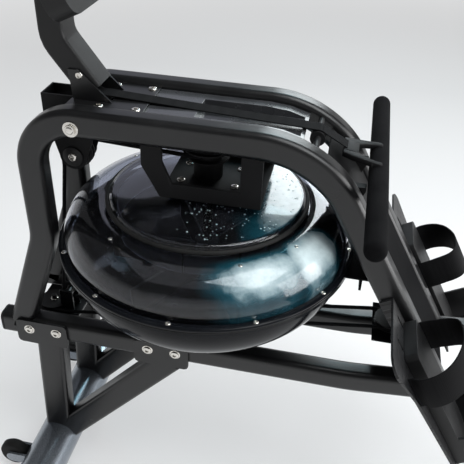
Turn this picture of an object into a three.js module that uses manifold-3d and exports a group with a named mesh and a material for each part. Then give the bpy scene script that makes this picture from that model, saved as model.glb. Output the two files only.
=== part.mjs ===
// A water rowing machine in millimetres. +Z is up, +X points to the rear, -Y is the near side.
// Heights are above the floor. Lengths along X are from the plumb line of the resting handle.
import * as THREE from 'three';
import { mergeVertices } from 'three/addons/utils/BufferGeometryUtils.js';
import Module from 'manifold-3d';

const wasm = await Module();
wasm.setup();

// Fits shared by every piece
const clearance = 0.3;
const overrun = 12;
const weldDistance = 0.0001;
const bendStep = THREE.MathUtils.degToRad(15);

// Main frame tubes
const tubeDeep = 44;
const tubeWide = 38;
const tubeCorner = 11;
const tubeWall = 2.5;
const archSpacing = 148;
const archY = archSpacing / 2;
const innerHalf = archY - tubeWide / 2 - clearance;
const topTubeHeight = 785;
const postX = -536;
const postKneeHeight = 559;
const postKneeRadius = 120;
const postFootX = -604;
const frontBendRadius = 83;
const rearBendRadius = 166;
const rearBendX = -85;
const diagonalAngle = THREE.MathUtils.degToRad(60);

// Rails: low at the front, one shallow rise, level under the seat
const railFrontX = -640;
const railLowHeight = 349;
const railRise = 29;
const railHighHeight = railLowHeight + railRise;
const riseStartX = 10;
const riseEndX = 310;
const railBendRadius = 500;
const rearEndX = 1440;
const endCoverThick = 15;
const railRearX = rearEndX - endCoverThick - clearance;
const railTop = railHighHeight + tubeDeep / 2;

// Floor crossbars and their feet
const crossbarRadius = 42;
const crossbarWall = 2.5;
const crossbarHeight = 44;
const frontCrossbarX = -566;
const rearCrossbarX = 1385;
const crossbarLength = 416;
const footRadius = 45;
const footLength = 26;

// Transport wheels ahead of the front crossbar
const wheelRadius = 30;
const wheelWide = 22;
const wheelLift = 9;
const wheelReach = 74;
const wheelX = frontCrossbarX - wheelReach;
const wheelY = 150;
const wheelPinRadius = 5;
const earThick = 5;
const earGap = 1;
const earTall = 24;

// Legs
const legPlateThick = 5;
const legWide = 36;
const legCorner = 8;
const frontLegDeep = 53;
const frontLegX = -549;
const frontPlateLong = 100;
const frontPlateX = -562;
const braceDeep = 51;
const braceX = -335;
const bracePlateLong = 103;
const braceLean = 15;
const legPlateTall = 54;
const rearLegX = 1352;
const rearLegDeep = 50;

// Water tank
const tankX = -268;
const tankFlangeRadius = 252;
const tankFlangeTop = 567.6;
const tankFlangeThick = 6;
const tankWall = 5;
const domeShoulderRadius = 240;
const domeRise = 69.4;
const hatRadius = 164;
const hatTall = 14;
const domeCrown = 8;
const hubHoleRadius = 30;
const bowlDepth = 119;
const tankSegments = 36;

// Tank shaft, paddle and pull drum
const shaftRadius = 8;
const shaftTop = 773;
const paddleHubRadius = 22;
const paddleRadius = 176;
const paddleTall = 76;
const paddleBottom = 472;
const bladeThick = 5;
const bladeCount = 6;
const drumBottom = 713;
const cordSpoolRadius = 24.2;
const cordSpoolTall = 14;
const beltSpoolRadius = 34.7;
const beltSpoolTall = 36;
const drumFlange = 3;
const drumFlangeProud = 7;

// Hangers that carry the tank from the top tubes
const hangerThick = 8;
const hangerFrontX = -356;
const hangerRearX = -168;
const hangerArm = 33;
const hangerBottom = 673;
const hangerChamferDeep = 52;
const hangerChamferX = 28;
const hangerFloor = 26;
const hangerBaseThick = 6;
const bearingRadius = 24;
const bossRadius = 45;

// Belt, its pulley and its guide roller
const beltWide = 25;
const beltThick = 2;
const beltPulleyX = -457;
const beltPulleyHeight = 779;
const beltPulleyRadius = 23.7;
const beltPulleyRim = 28;
const beltPulleyWide = 30;
const axleRadius = 6;
const axleHeadRadius = 12.5;
const axleHeadTall = 7;
const guideX = -97;
const guideHeight = 773.5;
const guideRadius = 12;
const guideWide = 30;
const guidePin = 5;

// Recoil cord and its pulleys
const cordDiameter = 7;
const cordRadius = cordDiameter / 2;
const cordPulleyGroove = 21.2;
const cordPulleyRim = 27;
const cordPulleyWide = 12;
const cordPulleyPin = 5;
const leadShare = 1.2;
const upperPulleyX = -492;
const upperPulleyHeight = 692;
const turnPinRadius = 8.2;
const turnPinX = -546;
const turnPinHeight = 371;
const flatPulleyGroove = 20.7;
const flatPulleyRim = 29;
const lowerPulleyX = -580;
const lowerPulleyHeight = 341;
const rearPulleyX = 69;
const rearPulleyHeight = 430;

// Guard around the front pulleys
const guardThick = 3;
const guardHalf = 19.5;
const guardFrontX = -535;
const guardRearX = -440;
const guardTop = 799;
const guardBoxTall = 32;
const guardGap = 1.5;
const guardLobe = 24;

// Covers between the arches
const coverThick = 3;
const coverTop = 794.7;
const coverFrontX = -425;
const coverRearX = -116;
const troughFrontX = -283;
const troughHalf = 34;
const troughDeep = 14;
const panelStartX = -78;
const panelEndHeight = 640;
const restWide = 14;
const restY = 62;
const restLong = 40;

// Console
const consolePlateThick = 3;
const consolePlateFrontX = -482;
const consolePlateRearX = -360;
const consoleSlotRearX = -418;
const gussetThick = 3;
const gussetHalf = 26;
const gussetTall = 48;
const gussetLong = 64;
const consoleArmDeep = 40;
const consoleArmWall = 3;
const consoleArmFootX = -449;
const consoleArmFootHeight = 811;
const consoleArmKneeX = -505;
const consoleArmKneeHeight = 886;
const consoleArmBend = 45;
const consolePivotHeight = 990;
const consoleBoss = 16;
const consoleEarThick = 7;
const consoleTilt = THREE.MathUtils.degToRad(25);
const consoleWide = 210;
const consoleTall = 140;
const consoleDeep = 34;
const consoleCorner = 22;
const consoleSetback = 20;
const screenWide = 150;
const screenTall = 78;
const screenThick = 3;
const screenOffset = 18;
const buttonRadius = 10;
const buttonTall = 9;
const buttonPocket = 7;
const buttonOffset = 44;
const buttonSpacing = 60;

// Handle
const handleHeight = 737;
const handleLength = 480;
const handleRadius = 15.2;
const collarRadius = 19;
const collarWide = 12;
const collarY = 32;
const yokeRootX = -42;
const yokeRootHeight = 758;
const yokeRootLong = 20;
const yokeRootHalf = 18;
const yokeRootThick = 12;
const yokeArmThick = 9;

// Panel between the sloping tubes
const bridgeThick = 4;
const bridgeOffset = 15;
const bridgeTop = 640;
const bridgeBottom = 395;
const cordTabFrontX = 38;
const tankTabFrontX = -24;
const tankTabDrop = 25;
const tankTabFlangeX = 0;

// Footrests
const footAngle = diagonalAngle;
const footTopHeight = 555;
const footAhead = 1.6;
const footGap = 1.3;
const footPlateLong = 308;
const footPlateThick = 4;
const footInnerY = archY + tubeWide / 2 + footGap;
const footToeWide = 149;
const footKneeLong = 100;
const footKneeWide = 125;
const footHeelWide = 106;
const footFlangeDeep = 20;
const footFlangeLong = 180;
const footCorner = 24;
const slotLong = 26;
const slotWide = 7;
const soleLong = 250;
const soleWide = 88;
const soleThick = 20.7;
const soleCorner = 9;
const soleStart = 44;
const heelWallTall = 40;
const heelWallThick = 5;
const heelCupLong = 62;
const strapWide = 58;
const strapThick = 3;
const strapTall = 86;
const strapSpan = 130;
const strapStartLeft = 58;
const strapStartRight = 84;
const slackFit = 2.2;

// Seat
const seatX = 700;
const seatWheelRadius = 20;
const seatWheelWide = 24;
const seatFlangeRadius = 26;
const seatFlangeWide = 4;
const seatAxleRadius = 6;
const seatAxleHalf = 92;
const seatWheelbase = 130;
const seatBaseLong = 200;
const seatBaseWide = 196;
const seatBaseThick = 5;
const cheekY = 41;
const cheekThick = 6;
const keeperReach = 22;
const keeperThick = 5;
const cushionLong = 250;
const cushionWide = 310;
const cushionThick = 56;
const cushionCrown = 14;
const cushionDip = 9;
const cushionDrawn = 9;

// Ties between the rails
const tieLong = 40;
const tieThick = 5;
const tieX = 262;
const frontTieFrontX = -612;
const frontTieRearX = -520;
const frontTieThick = 6;
const frontTieTop = 335;
const stopTall = 30;

const frameBlack = new THREE.MeshStandardMaterial({ color: 0x242426, roughness: 0.42, metalness: 0.55 });
const glossBlack = new THREE.MeshStandardMaterial({ color: 0x0b0c0e, roughness: 0.12, metalness: 0.0 });
const smokedClear = new THREE.MeshStandardMaterial({ color: 0x5f7680, roughness: 0.06, metalness: 0.0 });
const moulded = new THREE.MeshStandardMaterial({ color: 0x161617, roughness: 0.55, metalness: 0.0 });
const foam = new THREE.MeshStandardMaterial({ color: 0x131314, roughness: 0.85, metalness: 0.0 });
const webbing = new THREE.MeshStandardMaterial({ color: 0x0e0e0f, roughness: 0.9, metalness: 0.0 });
const steel = new THREE.MeshStandardMaterial({ color: 0xc9c6c0, roughness: 0.22, metalness: 1.0 });
const greySheet = new THREE.MeshStandardMaterial({ color: 0x595e63, roughness: 0.35, metalness: 0.6 });
const rubber = new THREE.MeshStandardMaterial({ color: 0x181818, roughness: 0.8, metalness: 0.0 });
const screenGlass = new THREE.MeshStandardMaterial({ color: 0x4b5a52, roughness: 0.1, metalness: 0.0 });
const cushionSkin = new THREE.MeshStandardMaterial({ color: 0x1b1b1c, roughness: 0.6, metalness: 0.0 });

const machine = new THREE.Group();

// Adds one named piece to a group, the whole machine unless another is given
function addPiece(name, geometry, material, parent = machine) {
  const mesh = new THREE.Mesh(geometry, material);
  mesh.name = name;
  parent.add(mesh);
  return mesh;
}

// Solids for cutting and joining
function solidOf(geometry) {
  const bare = geometry.clone();
  bare.deleteAttribute('normal');
  bare.deleteAttribute('uv');
  const merged = mergeVertices(bare, weldDistance);
  const mesh = new wasm.Mesh({
    numProp: 3,
    vertProperties: merged.attributes.position.array,
    triVerts: Uint32Array.from(merged.index.array),
  });
  return new wasm.Manifold(mesh);
}

function geometryOf(solid) {
  const mesh = solid.getMesh();
  const geometry = new THREE.BufferGeometry();
  geometry.setAttribute('position', new THREE.BufferAttribute(mesh.vertProperties, 3));
  geometry.setIndex(new THREE.BufferAttribute(mesh.triVerts, 1));
  geometry.computeVertexNormals();
  return geometry;
}

function joined(...geometries) {
  return geometryOf(geometries.map(solidOf).reduce((whole, next) => whole.add(next)));
}

function cut(base, ...cutters) {
  return geometryOf(cutters.map(solidOf).reduce((rest, cutter) => rest.subtract(cutter), solidOf(base)));
}

// Outline of a rectangle with round corners, as points
function roundedPoints(width, height, radius, steps = 2) {
  const points = [];
  const corners = [[1, 1], [-1, 1], [-1, -1], [1, -1]];
  corners.forEach(([sideX, sideY], quarter) => {
    for (let step = 0; step <= steps; step += 1) {
      const angle = (quarter + step / steps) * Math.PI / 2;
      points.push(new THREE.Vector2(
        sideX * (width / 2 - radius) + radius * Math.cos(angle),
        sideY * (height / 2 - radius) + radius * Math.sin(angle),
      ));
    }
  });
  return points;
}

function tubeSection(width, height, radius, wall) {
  const section = new THREE.Shape(roundedPoints(width, height, radius));
  if (wall > 0) {
    const bore = roundedPoints(width - 2 * wall, height - 2 * wall, radius - wall, 1);
    section.holes.push(new THREE.Path(bore));
  }
  return section;
}

function roundSection(radius, sides) {
  const points = [];
  for (let side = 0; side < sides; side += 1) {
    const angle = (side / sides) * 2 * Math.PI;
    points.push(new THREE.Vector2(radius * Math.cos(angle), radius * Math.sin(angle)));
  }
  return new THREE.Shape(points);
}

// A route through chosen points that keeps one ring of the swept section at each point.
// The section's width follows the given side vector, or one side vector for each point.
class Route extends THREE.Curve {
  constructor(points, sides) {
    super();
    this.points = points;
    this.sides = sides;
  }

  getPoint(share) {
    const place = share * (this.points.length - 1);
    const index = Math.min(Math.floor(place), this.points.length - 2);
    return this.points[index].clone().lerp(this.points[index + 1], place - index);
  }

  getPointAt(share) {
    return this.getPoint(share);
  }

  computeFrenetFrames() {
    const tangents = [];
    const normals = [];
    const binormals = [];
    const last = this.points.length - 1;
    this.points.forEach((point, index) => {
      const into = this.points[Math.max(index, 1)].clone().sub(this.points[Math.max(index, 1) - 1]).normalize();
      const start = Math.min(index, last - 1);
      const out = this.points[start + 1].clone().sub(this.points[start]).normalize();
      const tangent = into.clone().add(out).normalize();
      let side = Array.isArray(this.sides) ? this.sides[index] : this.sides;
      if (!side) {
        side = index === 0 ? new THREE.Vector3(0, 1, 0) : normals[index - 1];
        if (index === 0 && Math.abs(tangent.y) > 0.9) side = new THREE.Vector3(1, 0, 0);
      }
      const normal = side.clone().addScaledVector(tangent, -side.dot(tangent)).normalize();
      const mitre = 1 / Math.max(tangent.dot(out), 0.5);
      tangents.push(tangent);
      normals.push(normal);
      binormals.push(tangent.clone().cross(normal).multiplyScalar(mitre));
    });
    return { tangents, normals, binormals };
  }
}

function sweep(section, points, sides) {
  const route = new Route(points, sides);
  return new THREE.ExtrudeGeometry(section, {
    steps: points.length - 1,
    extrudePath: route,
    bevelEnabled: false,
  });
}

const acrossY = new THREE.Vector3(0, 1, 0);

// Points of a line in the X-Z plane whose inner corners are rounded by their radius
function bentLine(corners) {
  const points = [];
  corners.forEach(([x, z, radius], index) => {
    const corner = new THREE.Vector2(x, z);
    if (!radius) {
      points.push(new THREE.Vector3(x, 0, z));
      return;
    }
    const before = new THREE.Vector2(...corners[index - 1]);
    const after = new THREE.Vector2(...corners[index + 1]);
    const into = corner.clone().sub(before).normalize();
    const out = after.sub(corner).normalize();
    const turn = Math.atan2(into.cross(out), into.dot(out));
    const start = corner.clone().addScaledVector(into, -radius * Math.tan(Math.abs(turn) / 2));
    const inward = new THREE.Vector2(-into.y, into.x).multiplyScalar(Math.sign(turn) * radius);
    const centre = start.clone().add(inward);
    const steps = Math.max(1, Math.ceil(Math.abs(turn) / bendStep));
    for (let step = 0; step <= steps; step += 1) {
      const place = start.clone().rotateAround(centre, turn * step / steps);
      points.push(new THREE.Vector3(place.x, 0, place.y));
    }
  });
  return points;
}

// Points whose chords touch an arc from outside, so that a band laid on it clears the arc
function arcAround(radius, fromAngle, toAngle, place) {
  const steps = Math.max(1, Math.ceil(Math.abs(toAngle - fromAngle) / (1.5 * bendStep)));
  const reach = radius / Math.cos((toAngle - fromAngle) / steps / 2);
  const points = [];
  for (let step = 0; step <= steps; step += 1) {
    const angle = fromAngle + (toAngle - fromAngle) * step / steps;
    points.push(place(reach * Math.cos(angle), reach * Math.sin(angle)));
  }
  return points;
}

function wrapPoints(centre, radius, fromAngle, toAngle) {
  return arcAround(radius, fromAngle, toAngle, (x, z) => new THREE.Vector3(centre.x + x, 0, centre.y + z));
}

// Points on an arc in the X-Z plane
function arcPoints(centre, radius, fromAngle, toAngle) {
  const steps = Math.max(1, Math.ceil(Math.abs(toAngle - fromAngle) / bendStep));
  const points = [];
  for (let step = 0; step <= steps; step += 1) {
    const angle = fromAngle + (toAngle - fromAngle) * step / steps;
    points.push(new THREE.Vector3(centre.x + radius * Math.cos(angle), 0, centre.y + radius * Math.sin(angle)));
  }
  return points;
}

// Angle of the outer tangent that lies to the left of the line from one circle to the next
function tangentAngle(fromCentre, fromRadius, toCentre, toRadius) {
  const line = toCentre.clone().sub(fromCentre);
  return line.angle() + Math.acos((fromRadius - toRadius) / line.length());
}

// A shape drawn in the X-Z plane, extruded along Y between two places
function slabAlongY(shape, lowY, highY) {
  const geometry = new THREE.ExtrudeGeometry(shape, { depth: highY - lowY, bevelEnabled: false, curveSegments: 6 });
  return geometry.rotateX(Math.PI / 2).translate(0, highY, 0);
}

function slabAlongZ(shape, lowZ, highZ) {
  const geometry = new THREE.ExtrudeGeometry(shape, { depth: highZ - lowZ, bevelEnabled: false, curveSegments: 6 });
  return geometry.translate(0, 0, lowZ);
}

function block(lowX, highX, lowY, highY, lowZ, highZ) {
  const geometry = new THREE.BoxGeometry(highX - lowX, highY - lowY, highZ - lowZ);
  return geometry.translate((lowX + highX) / 2, (lowY + highY) / 2, (lowZ + highZ) / 2);
}

function rodAlongY(radius, lowY, highY, x, z, segments = 20) {
  const geometry = new THREE.CylinderGeometry(radius, radius, highY - lowY, segments);
  return geometry.translate(x, (lowY + highY) / 2, z);
}

function rodAlongZ(radius, lowZ, highZ, x, y, segments = 20) {
  const geometry = new THREE.CylinderGeometry(radius, radius, highZ - lowZ, segments);
  return geometry.rotateX(Math.PI / 2).translate(x, y, (lowZ + highZ) / 2);
}

// A turned body about Z or Y from a closed profile of [radius, height] points
function turned(profile, segments) {
  return new THREE.LatheGeometry(profile.map(([radius, height]) => new THREE.Vector2(radius, height)), segments);
}

function turnedAboutZ(profile, segments, x, y) {
  return turned(profile, segments).rotateX(Math.PI / 2).translate(x, y, 0);
}

function polygon(points) {
  return new THREE.Shape(points.map(([x, y]) => new THREE.Vector2(x, y)));
}

// Profile of a grooved pulley, centred on its own middle plane
function pulleyProfile(bore, groove, rim, width, grooveWidth) {
  const half = width / 2;
  return [
    [bore, -half], [rim, -half], [rim, -grooveWidth / 2], [groove, -grooveWidth * 0.45],
    [groove, grooveWidth * 0.45], [rim, grooveWidth / 2], [rim, half], [bore, half], [bore, -half],
  ];
}

// Rails
const railCorners = (frontX, rearX) => [
  [frontX, railLowHeight],
  [riseStartX, railLowHeight, railBendRadius],
  [riseEndX, railHighHeight, railBendRadius],
  [rearX, railHighHeight],
];

const railBody = sweep(
  tubeSection(tubeWide, tubeDeep, tubeCorner, tubeWall),
  bentLine(railCorners(railFrontX, railRearX)),
  acrossY,
);

const railClearBody = sweep(
  tubeSection(tubeWide + 2 * clearance, tubeDeep + 2 * clearance, tubeCorner + clearance, 0),
  bentLine(railCorners(railFrontX - overrun, railRearX + overrun)),
  acrossY,
);

// Height of the rails' centre line under a place on the rise
function railHeightAt(x) {
  const share = THREE.MathUtils.clamp((x - riseStartX) / (riseEndX - riseStartX), 0, 1);
  return railLowHeight + railRise * share;
}

// The near and far copies of a piece that is built on the plane between them
const sides = [['left', -1], ['right', 1]];

function addPair(name, geometry, material, offsetY) {
  sides.forEach(([word, side]) => {
    addPiece(`${name}_${word}`, geometry, material).position.y = side * offsetY;
  });
}

addPair('rail', railBody, frameBlack, archY);

// Arches: leaning foot, post, top run and sloping tube in one bent tube
const diagonalFootHeight = railHeightAt(rearBendX + topTubeHeight - railHighHeight);
const diagonalFootX = rearBendX + (topTubeHeight - diagonalFootHeight) / Math.tan(diagonalAngle);
const archLine = bentLine([
  [postFootX, railLowHeight],
  [postX, postKneeHeight, postKneeRadius],
  [postX, topTubeHeight, frontBendRadius],
  [rearBendX, topTubeHeight, rearBendRadius],
  [diagonalFootX, diagonalFootHeight],
]);
const archBody = cut(
  sweep(tubeSection(tubeWide, tubeDeep, tubeCorner, tubeWall), archLine, acrossY),
  railClearBody,
  rodAlongY(axleRadius + clearance, -tubeWide, tubeWide, beltPulleyX, beltPulleyHeight, 12),
);
addPair('arch', archBody, frameBlack, archY);

const archClearBody = sweep(
  tubeSection(tubeWide + 2 * clearance, tubeDeep + 2 * clearance, tubeCorner + clearance, 0),
  archLine,
  acrossY,
);

// X of the sloping tube's centre line at a height
function diagonalX(height) {
  return rearBendX + (topTubeHeight - height) / Math.tan(diagonalAngle);
}

// Floor crossbars with cupped rubber feet
function crossbarBody(x) {
  const ring = new THREE.Shape().absarc(x, crossbarHeight, crossbarRadius, 0, 2 * Math.PI, false);
  ring.holes.push(new THREE.Path().absarc(x, crossbarHeight, crossbarRadius - crossbarWall, 0, 2 * Math.PI, true));
  const geometry = new THREE.ExtrudeGeometry(ring, { depth: crossbarLength, bevelEnabled: false, curveSegments: 18 });
  return geometry.rotateX(Math.PI / 2).translate(0, crossbarLength / 2, 0);
}

function footBody(x) {
  const lowAngle = Math.acos(crossbarHeight / footRadius);
  const face = new THREE.Shape();
  face.absarc(x, crossbarHeight, footRadius, lowAngle - Math.PI / 2, 3 * Math.PI / 2 - lowAngle, false);
  const inner = crossbarLength / 2 + clearance;
  const cap = new THREE.ExtrudeGeometry(face, { depth: footLength, bevelEnabled: false, curveSegments: 18 });
  cap.rotateX(Math.PI / 2).translate(0, inner + footLength, 0);
  const plugRadius = crossbarRadius - crossbarWall - clearance;
  const plug = rodAlongY(plugRadius, inner - footLength, inner + earGap, x, crossbarHeight, 28);
  return joined(cap, plug);
}

function mirrored(geometry) {
  const copy = geometry.clone().applyMatrix4(new THREE.Matrix4().makeScale(1, -1, 1));
  const indices = copy.index.array;
  for (let corner = 0; corner < indices.length; corner += 3) {
    [indices[corner], indices[corner + 1]] = [indices[corner + 1], indices[corner]];
  }
  copy.computeVertexNormals();
  return copy;
}

function addFeet(name, x) {
  const foot = footBody(x);
  addPiece(`${name}_left`, mirrored(foot), rubber);
  addPiece(`${name}_right`, foot, rubber);
}

// Two ears and a pin welded ahead of the front crossbar for each wheel
const wheelHeight = wheelRadius + wheelLift;
function wheelEars(y) {
  const reach = wheelWide / 2 + earGap;
  const ears = [];
  [-1, 1].forEach((side) => {
    const outline = new THREE.Shape();
    outline.moveTo(frontCrossbarX, wheelHeight - earTall / 2);
    outline.lineTo(frontCrossbarX, wheelHeight + earTall / 2);
    outline.lineTo(wheelX, wheelHeight + earTall / 2);
    outline.absarc(wheelX, wheelHeight, earTall / 2, Math.PI / 2, 3 * Math.PI / 2, false);
    outline.closePath();
    const near = y + side * reach;
    const far = y + side * (reach + earThick);
    ears.push(slabAlongY(outline, Math.min(near, far), Math.max(near, far)));
  });
  const pinHalf = reach + earThick / 2;
  ears.push(rodAlongY(wheelPinRadius, y - pinHalf, y + pinHalf, wheelX, wheelHeight, 16));
  return ears;
}

const boreClear = rodAlongY(
  crossbarRadius - crossbarWall / 2,
  -crossbarLength / 2 - overrun,
  crossbarLength / 2 + overrun,
  frontCrossbarX,
  crossbarHeight,
  28,
);
const wheelBrackets = cut(joined(...wheelEars(-wheelY), ...wheelEars(wheelY), crossbarBody(frontCrossbarX)), boreClear);
addPiece('front_crossbar', wheelBrackets, frameBlack);
addPiece('rear_crossbar', crossbarBody(rearCrossbarX), frameBlack);
addFeet('front_foot', frontCrossbarX);
addFeet('rear_foot', rearCrossbarX);

const wheelHub = wheelPinRadius + clearance;
const wheelTread = wheelRadius * 0.16;
const wheelProfile = [
  [wheelHub, -wheelWide / 2], [wheelRadius - wheelTread, -wheelWide / 2], [wheelRadius, -wheelWide / 2 + wheelTread],
  [wheelRadius, wheelWide / 2 - wheelTread], [wheelRadius - wheelTread, wheelWide / 2], [wheelHub, wheelWide / 2],
  [wheelHub, -wheelWide / 2],
];
sides.forEach(([word, side]) => {
  const wheel = addPiece(`transport_wheel_${word}`, turned(wheelProfile, 24), rubber);
  wheel.position.set(wheelX, side * wheelY, wheelHeight);
});

// Legs: a tube cut round the crossbar, flush with a plate bolted to the rail's outer face
const legOffset = tubeWide / 2 + clearance + legPlateThick - legWide / 2;

function clearCrossbar(x, y) {
  const half = legWide + overrun;
  return rodAlongY(crossbarRadius + clearance, y - half, y + half, x, crossbarHeight, 40);
}

function legTube(topX, topHeight, footX, deep, growth) {
  const lineTop = new THREE.Vector3(topX, 0, topHeight);
  const lineFoot = new THREE.Vector3(footX, 0, crossbarHeight);
  const wall = growth > 0 ? 0 : tubeWall;
  const section = tubeSection(legWide + 2 * growth, deep + 2 * growth, legCorner + growth, wall);
  return sweep(section, [lineTop, lineFoot], acrossY).translate(0, legOffset, 0);
}

function legPlate(centreX, long, topHeight, tall) {
  const plate = new THREE.Shape(roundedPoints(long, tall, legCorner).map((point) => (
    new THREE.Vector2(point.x + centreX, point.y + topHeight - tall / 2)
  )));
  const inner = tubeWide / 2 + clearance;
  return slabAlongY(plate, inner, inner + legPlateThick);
}

const legTopHeight = railLowHeight + tubeDeep / 2;
const frontLegBody = cut(
  joined(
    legTube(frontLegX, railLowHeight, frontCrossbarX, frontLegDeep, 0),
    legPlate(frontPlateX, frontPlateLong, legTopHeight, legPlateTall),
  ),
  railClearBody,
  clearCrossbar(frontCrossbarX, legOffset),
);
const braceTopX = braceX + legPlateThick;
const braceBody = cut(
  joined(
    legTube(braceTopX + braceLean, legTopHeight - tubeDeep, frontCrossbarX, braceDeep, 0),
    legPlate(braceTopX, bracePlateLong, legTopHeight, legPlateTall),
  ),
  railClearBody,
  clearCrossbar(frontCrossbarX, legOffset),
  legTube(frontLegX, railLowHeight, frontCrossbarX, frontLegDeep, clearance),
);
const rearLegBody = cut(
  joined(
    legTube(rearLegX, railHighHeight, rearCrossbarX, rearLegDeep, 0),
    legPlate(rearLegX, bracePlateLong, railTop, legPlateTall),
  ),
  railClearBody,
  clearCrossbar(rearCrossbarX, legOffset),
);
[['front_leg', frontLegBody], ['brace_leg', braceBody], ['rear_leg', rearLegBody]].forEach(([name, body]) => {
  addPiece(`${name}_left`, mirrored(body), frameBlack).position.y = -archY;
  addPiece(`${name}_right`, body, frameBlack).position.y = archY;
});

// Rear end cover with a spigot in each rail and a rubber-faced stop between them
const coverHalf = archY + tubeWide / 2 + earThick / 2;
const coverTall = tubeDeep + earThick;
const endPlate = new THREE.ExtrudeGeometry(
  new THREE.Shape(roundedPoints(2 * coverHalf, coverTall, tubeCorner)),
  { depth: endCoverThick, bevelEnabled: false },
);
endPlate.applyMatrix4(new THREE.Matrix4().makeBasis(
  new THREE.Vector3(0, 1, 0), new THREE.Vector3(0, 0, 1), new THREE.Vector3(1, 0, 0),
)).translate(rearEndX - endCoverThick, 0, railHighHeight);
const spigotDeep = tubeDeep - 2 * tubeWall - tubeCorner;
const spigotWide = tubeWide - 2 * tubeWall - tubeCorner;
const spigotLong = 2 * endCoverThick;
const coverParts = [endPlate];
sides.forEach(([, side]) => {
  const middle = side * archY;
  coverParts.push(block(
    rearEndX - endCoverThick - spigotLong, rearEndX - endCoverThick / 2,
    middle - spigotWide / 2, middle + spigotWide / 2,
    railHighHeight - spigotDeep / 2, railHighHeight + spigotDeep / 2,
  ));
});
addPiece('rail_end_cover', joined(...coverParts), moulded);

// Tie under the rails, with an upstand that stops the seat's cheeks
const tieTopAt = railHeightAt(tieX) - tubeDeep / 2 - clearance;
const tieSlope = Math.atan2(railRise, riseEndX - riseStartX);
const tiePlate = block(-tieLong / 2, tieLong / 2, -archY - tubeWide / 2, archY + tubeWide / 2, -tieThick, 0);
const tieUpstand = block(-tieThick, tieThick, -innerHalf, innerHalf, -tieThick / 2, stopTall);
const railTie = joined(tiePlate, tieUpstand);
railTie.rotateY(-tieSlope).translate(tieX, 0, tieTopAt - clearance);
addPiece('rail_tie', railTie, frameBlack);

// Front tie between the rails: pin for the flat cord pulley, turning pin on two ears, cord cleat
const flatPulleyTall = cordPulleyWide;
const cordEndY = flatPulleyGroove + clearance + cordRadius;
const cleatX = lowerPulleyX + flatPulleyRim;
const turnEarHalf = 11;
const turnEarReach = turnPinRadius + earThick;
const turnEarFootX = lowerPulleyX + flatPulleyRim + clearance;
const turnEarStep = lowerPulleyHeight + flatPulleyTall / 2 + 2 * clearance;
const turnEarShape = polygon([
  [turnEarFootX, frontTieTop - frontTieThick / 2],
  [turnPinX + turnEarReach, frontTieTop - frontTieThick / 2],
  [turnPinX + turnEarReach, turnPinHeight + turnEarReach],
  [turnPinX - turnEarReach, turnPinHeight + turnEarReach],
  [turnPinX - turnEarReach, turnEarStep],
  [turnEarFootX, turnEarStep],
]);
const tieParts = [
  block(frontTieFrontX, frontTieRearX, -innerHalf, innerHalf, frontTieTop - frontTieThick, frontTieTop),
  rodAlongZ(cordPulleyPin, frontTieTop - frontTieThick / 2, frontTieTop + flatPulleyTall + 2 * earThick,
    lowerPulleyX, 0, 16),
  rodAlongY(turnPinRadius, -turnEarHalf - earThick / 2, turnEarHalf + earThick / 2, turnPinX, turnPinHeight, 16),
  block(cleatX, cleatX + cordDiameter + earThick, cordEndY - cordDiameter, cordEndY + cordDiameter,
    frontTieTop - frontTieThick / 2, lowerPulleyHeight + cordDiameter),
];
sides.forEach(([, side]) => {
  const near = side * turnEarHalf;
  const far = side * (turnEarHalf + earThick);
  tieParts.push(slabAlongY(turnEarShape, Math.min(near, far), Math.max(near, far)));
});
addPiece('front_tie', joined(...tieParts), frameBlack);

// Tank bowl and dome
const domeFlangeUnder = tankFlangeTop - tankFlangeThick;
const bowlFlangeTop = domeFlangeUnder - clearance;
const bowlBottom = bowlFlangeTop - bowlDepth;
const bowlOuter = [
  [0, 0], [0.397, 0.042], [0.659, 0.143], [0.817, 0.303], [0.905, 0.513], [0.944, 0.731],
];
const bowlShares = bowlOuter.map(([reach, rise]) => [reach * tankFlangeRadius, bowlBottom + rise * bowlDepth]);
const bowlInner = bowlShares.slice().reverse().map(([radius, height]) => [
  Math.max(radius - (radius > 0 ? tankWall : 0), 0), height + tankWall,
]);
const bowlLip = domeShoulderRadius - tankWall;
const bowlProfile = [
  ...bowlShares,
  [domeShoulderRadius, bowlFlangeTop - tankFlangeThick - clearance],
  [tankFlangeRadius, bowlFlangeTop - tankFlangeThick],
  [tankFlangeRadius, bowlFlangeTop],
  [bowlLip, bowlFlangeTop],
  ...bowlInner,
];
addPiece('tank_bowl', turnedAboutZ(bowlProfile, tankSegments, tankX, 0), glossBlack);

const hatTop = tankFlangeTop + domeRise + hatTall;
const domeTop = hatTop + domeCrown;
const shoulderWide = domeShoulderRadius - hatRadius;
const shoulderShares = [[1, 0], [1.007, 0.265], [0.954, 0.51], [0.816, 0.741], [0.579, 0.914], [0.303, 1], [0.066, 0.98]];
const shoulder = shoulderShares.map(([reach, rise]) => [hatRadius + reach * shoulderWide, tankFlangeTop + rise * domeRise]);
const crownAt = (radius) => hatTop + domeCrown * (1 - (radius / hatRadius) ** 2);
const domeOuter = [
  ...shoulder,
  [hatRadius, tankFlangeTop + domeRise - tankWall],
  [hatRadius, hatTop - tankWall],
  [hatRadius - tankWall, hatTop],
  [hatRadius * 0.6, crownAt(hatRadius * 0.6)],
  [hubHoleRadius, crownAt(hubHoleRadius)],
];
const domeInner = [
  [hubHoleRadius, crownAt(hubHoleRadius) - tankWall],
  [hatRadius * 0.6, crownAt(hatRadius * 0.6) - tankWall],
  [hatRadius - 2 * tankWall, hatTop - tankWall],
  [hatRadius - tankWall, hatTop - 2 * tankWall],
  ...shoulder.slice().reverse().map(([radius, height]) => [radius - tankWall, height - tankWall]),
];
domeInner[domeInner.length - 1] = [domeShoulderRadius - tankWall, tankFlangeTop - tankFlangeThick];
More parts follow.
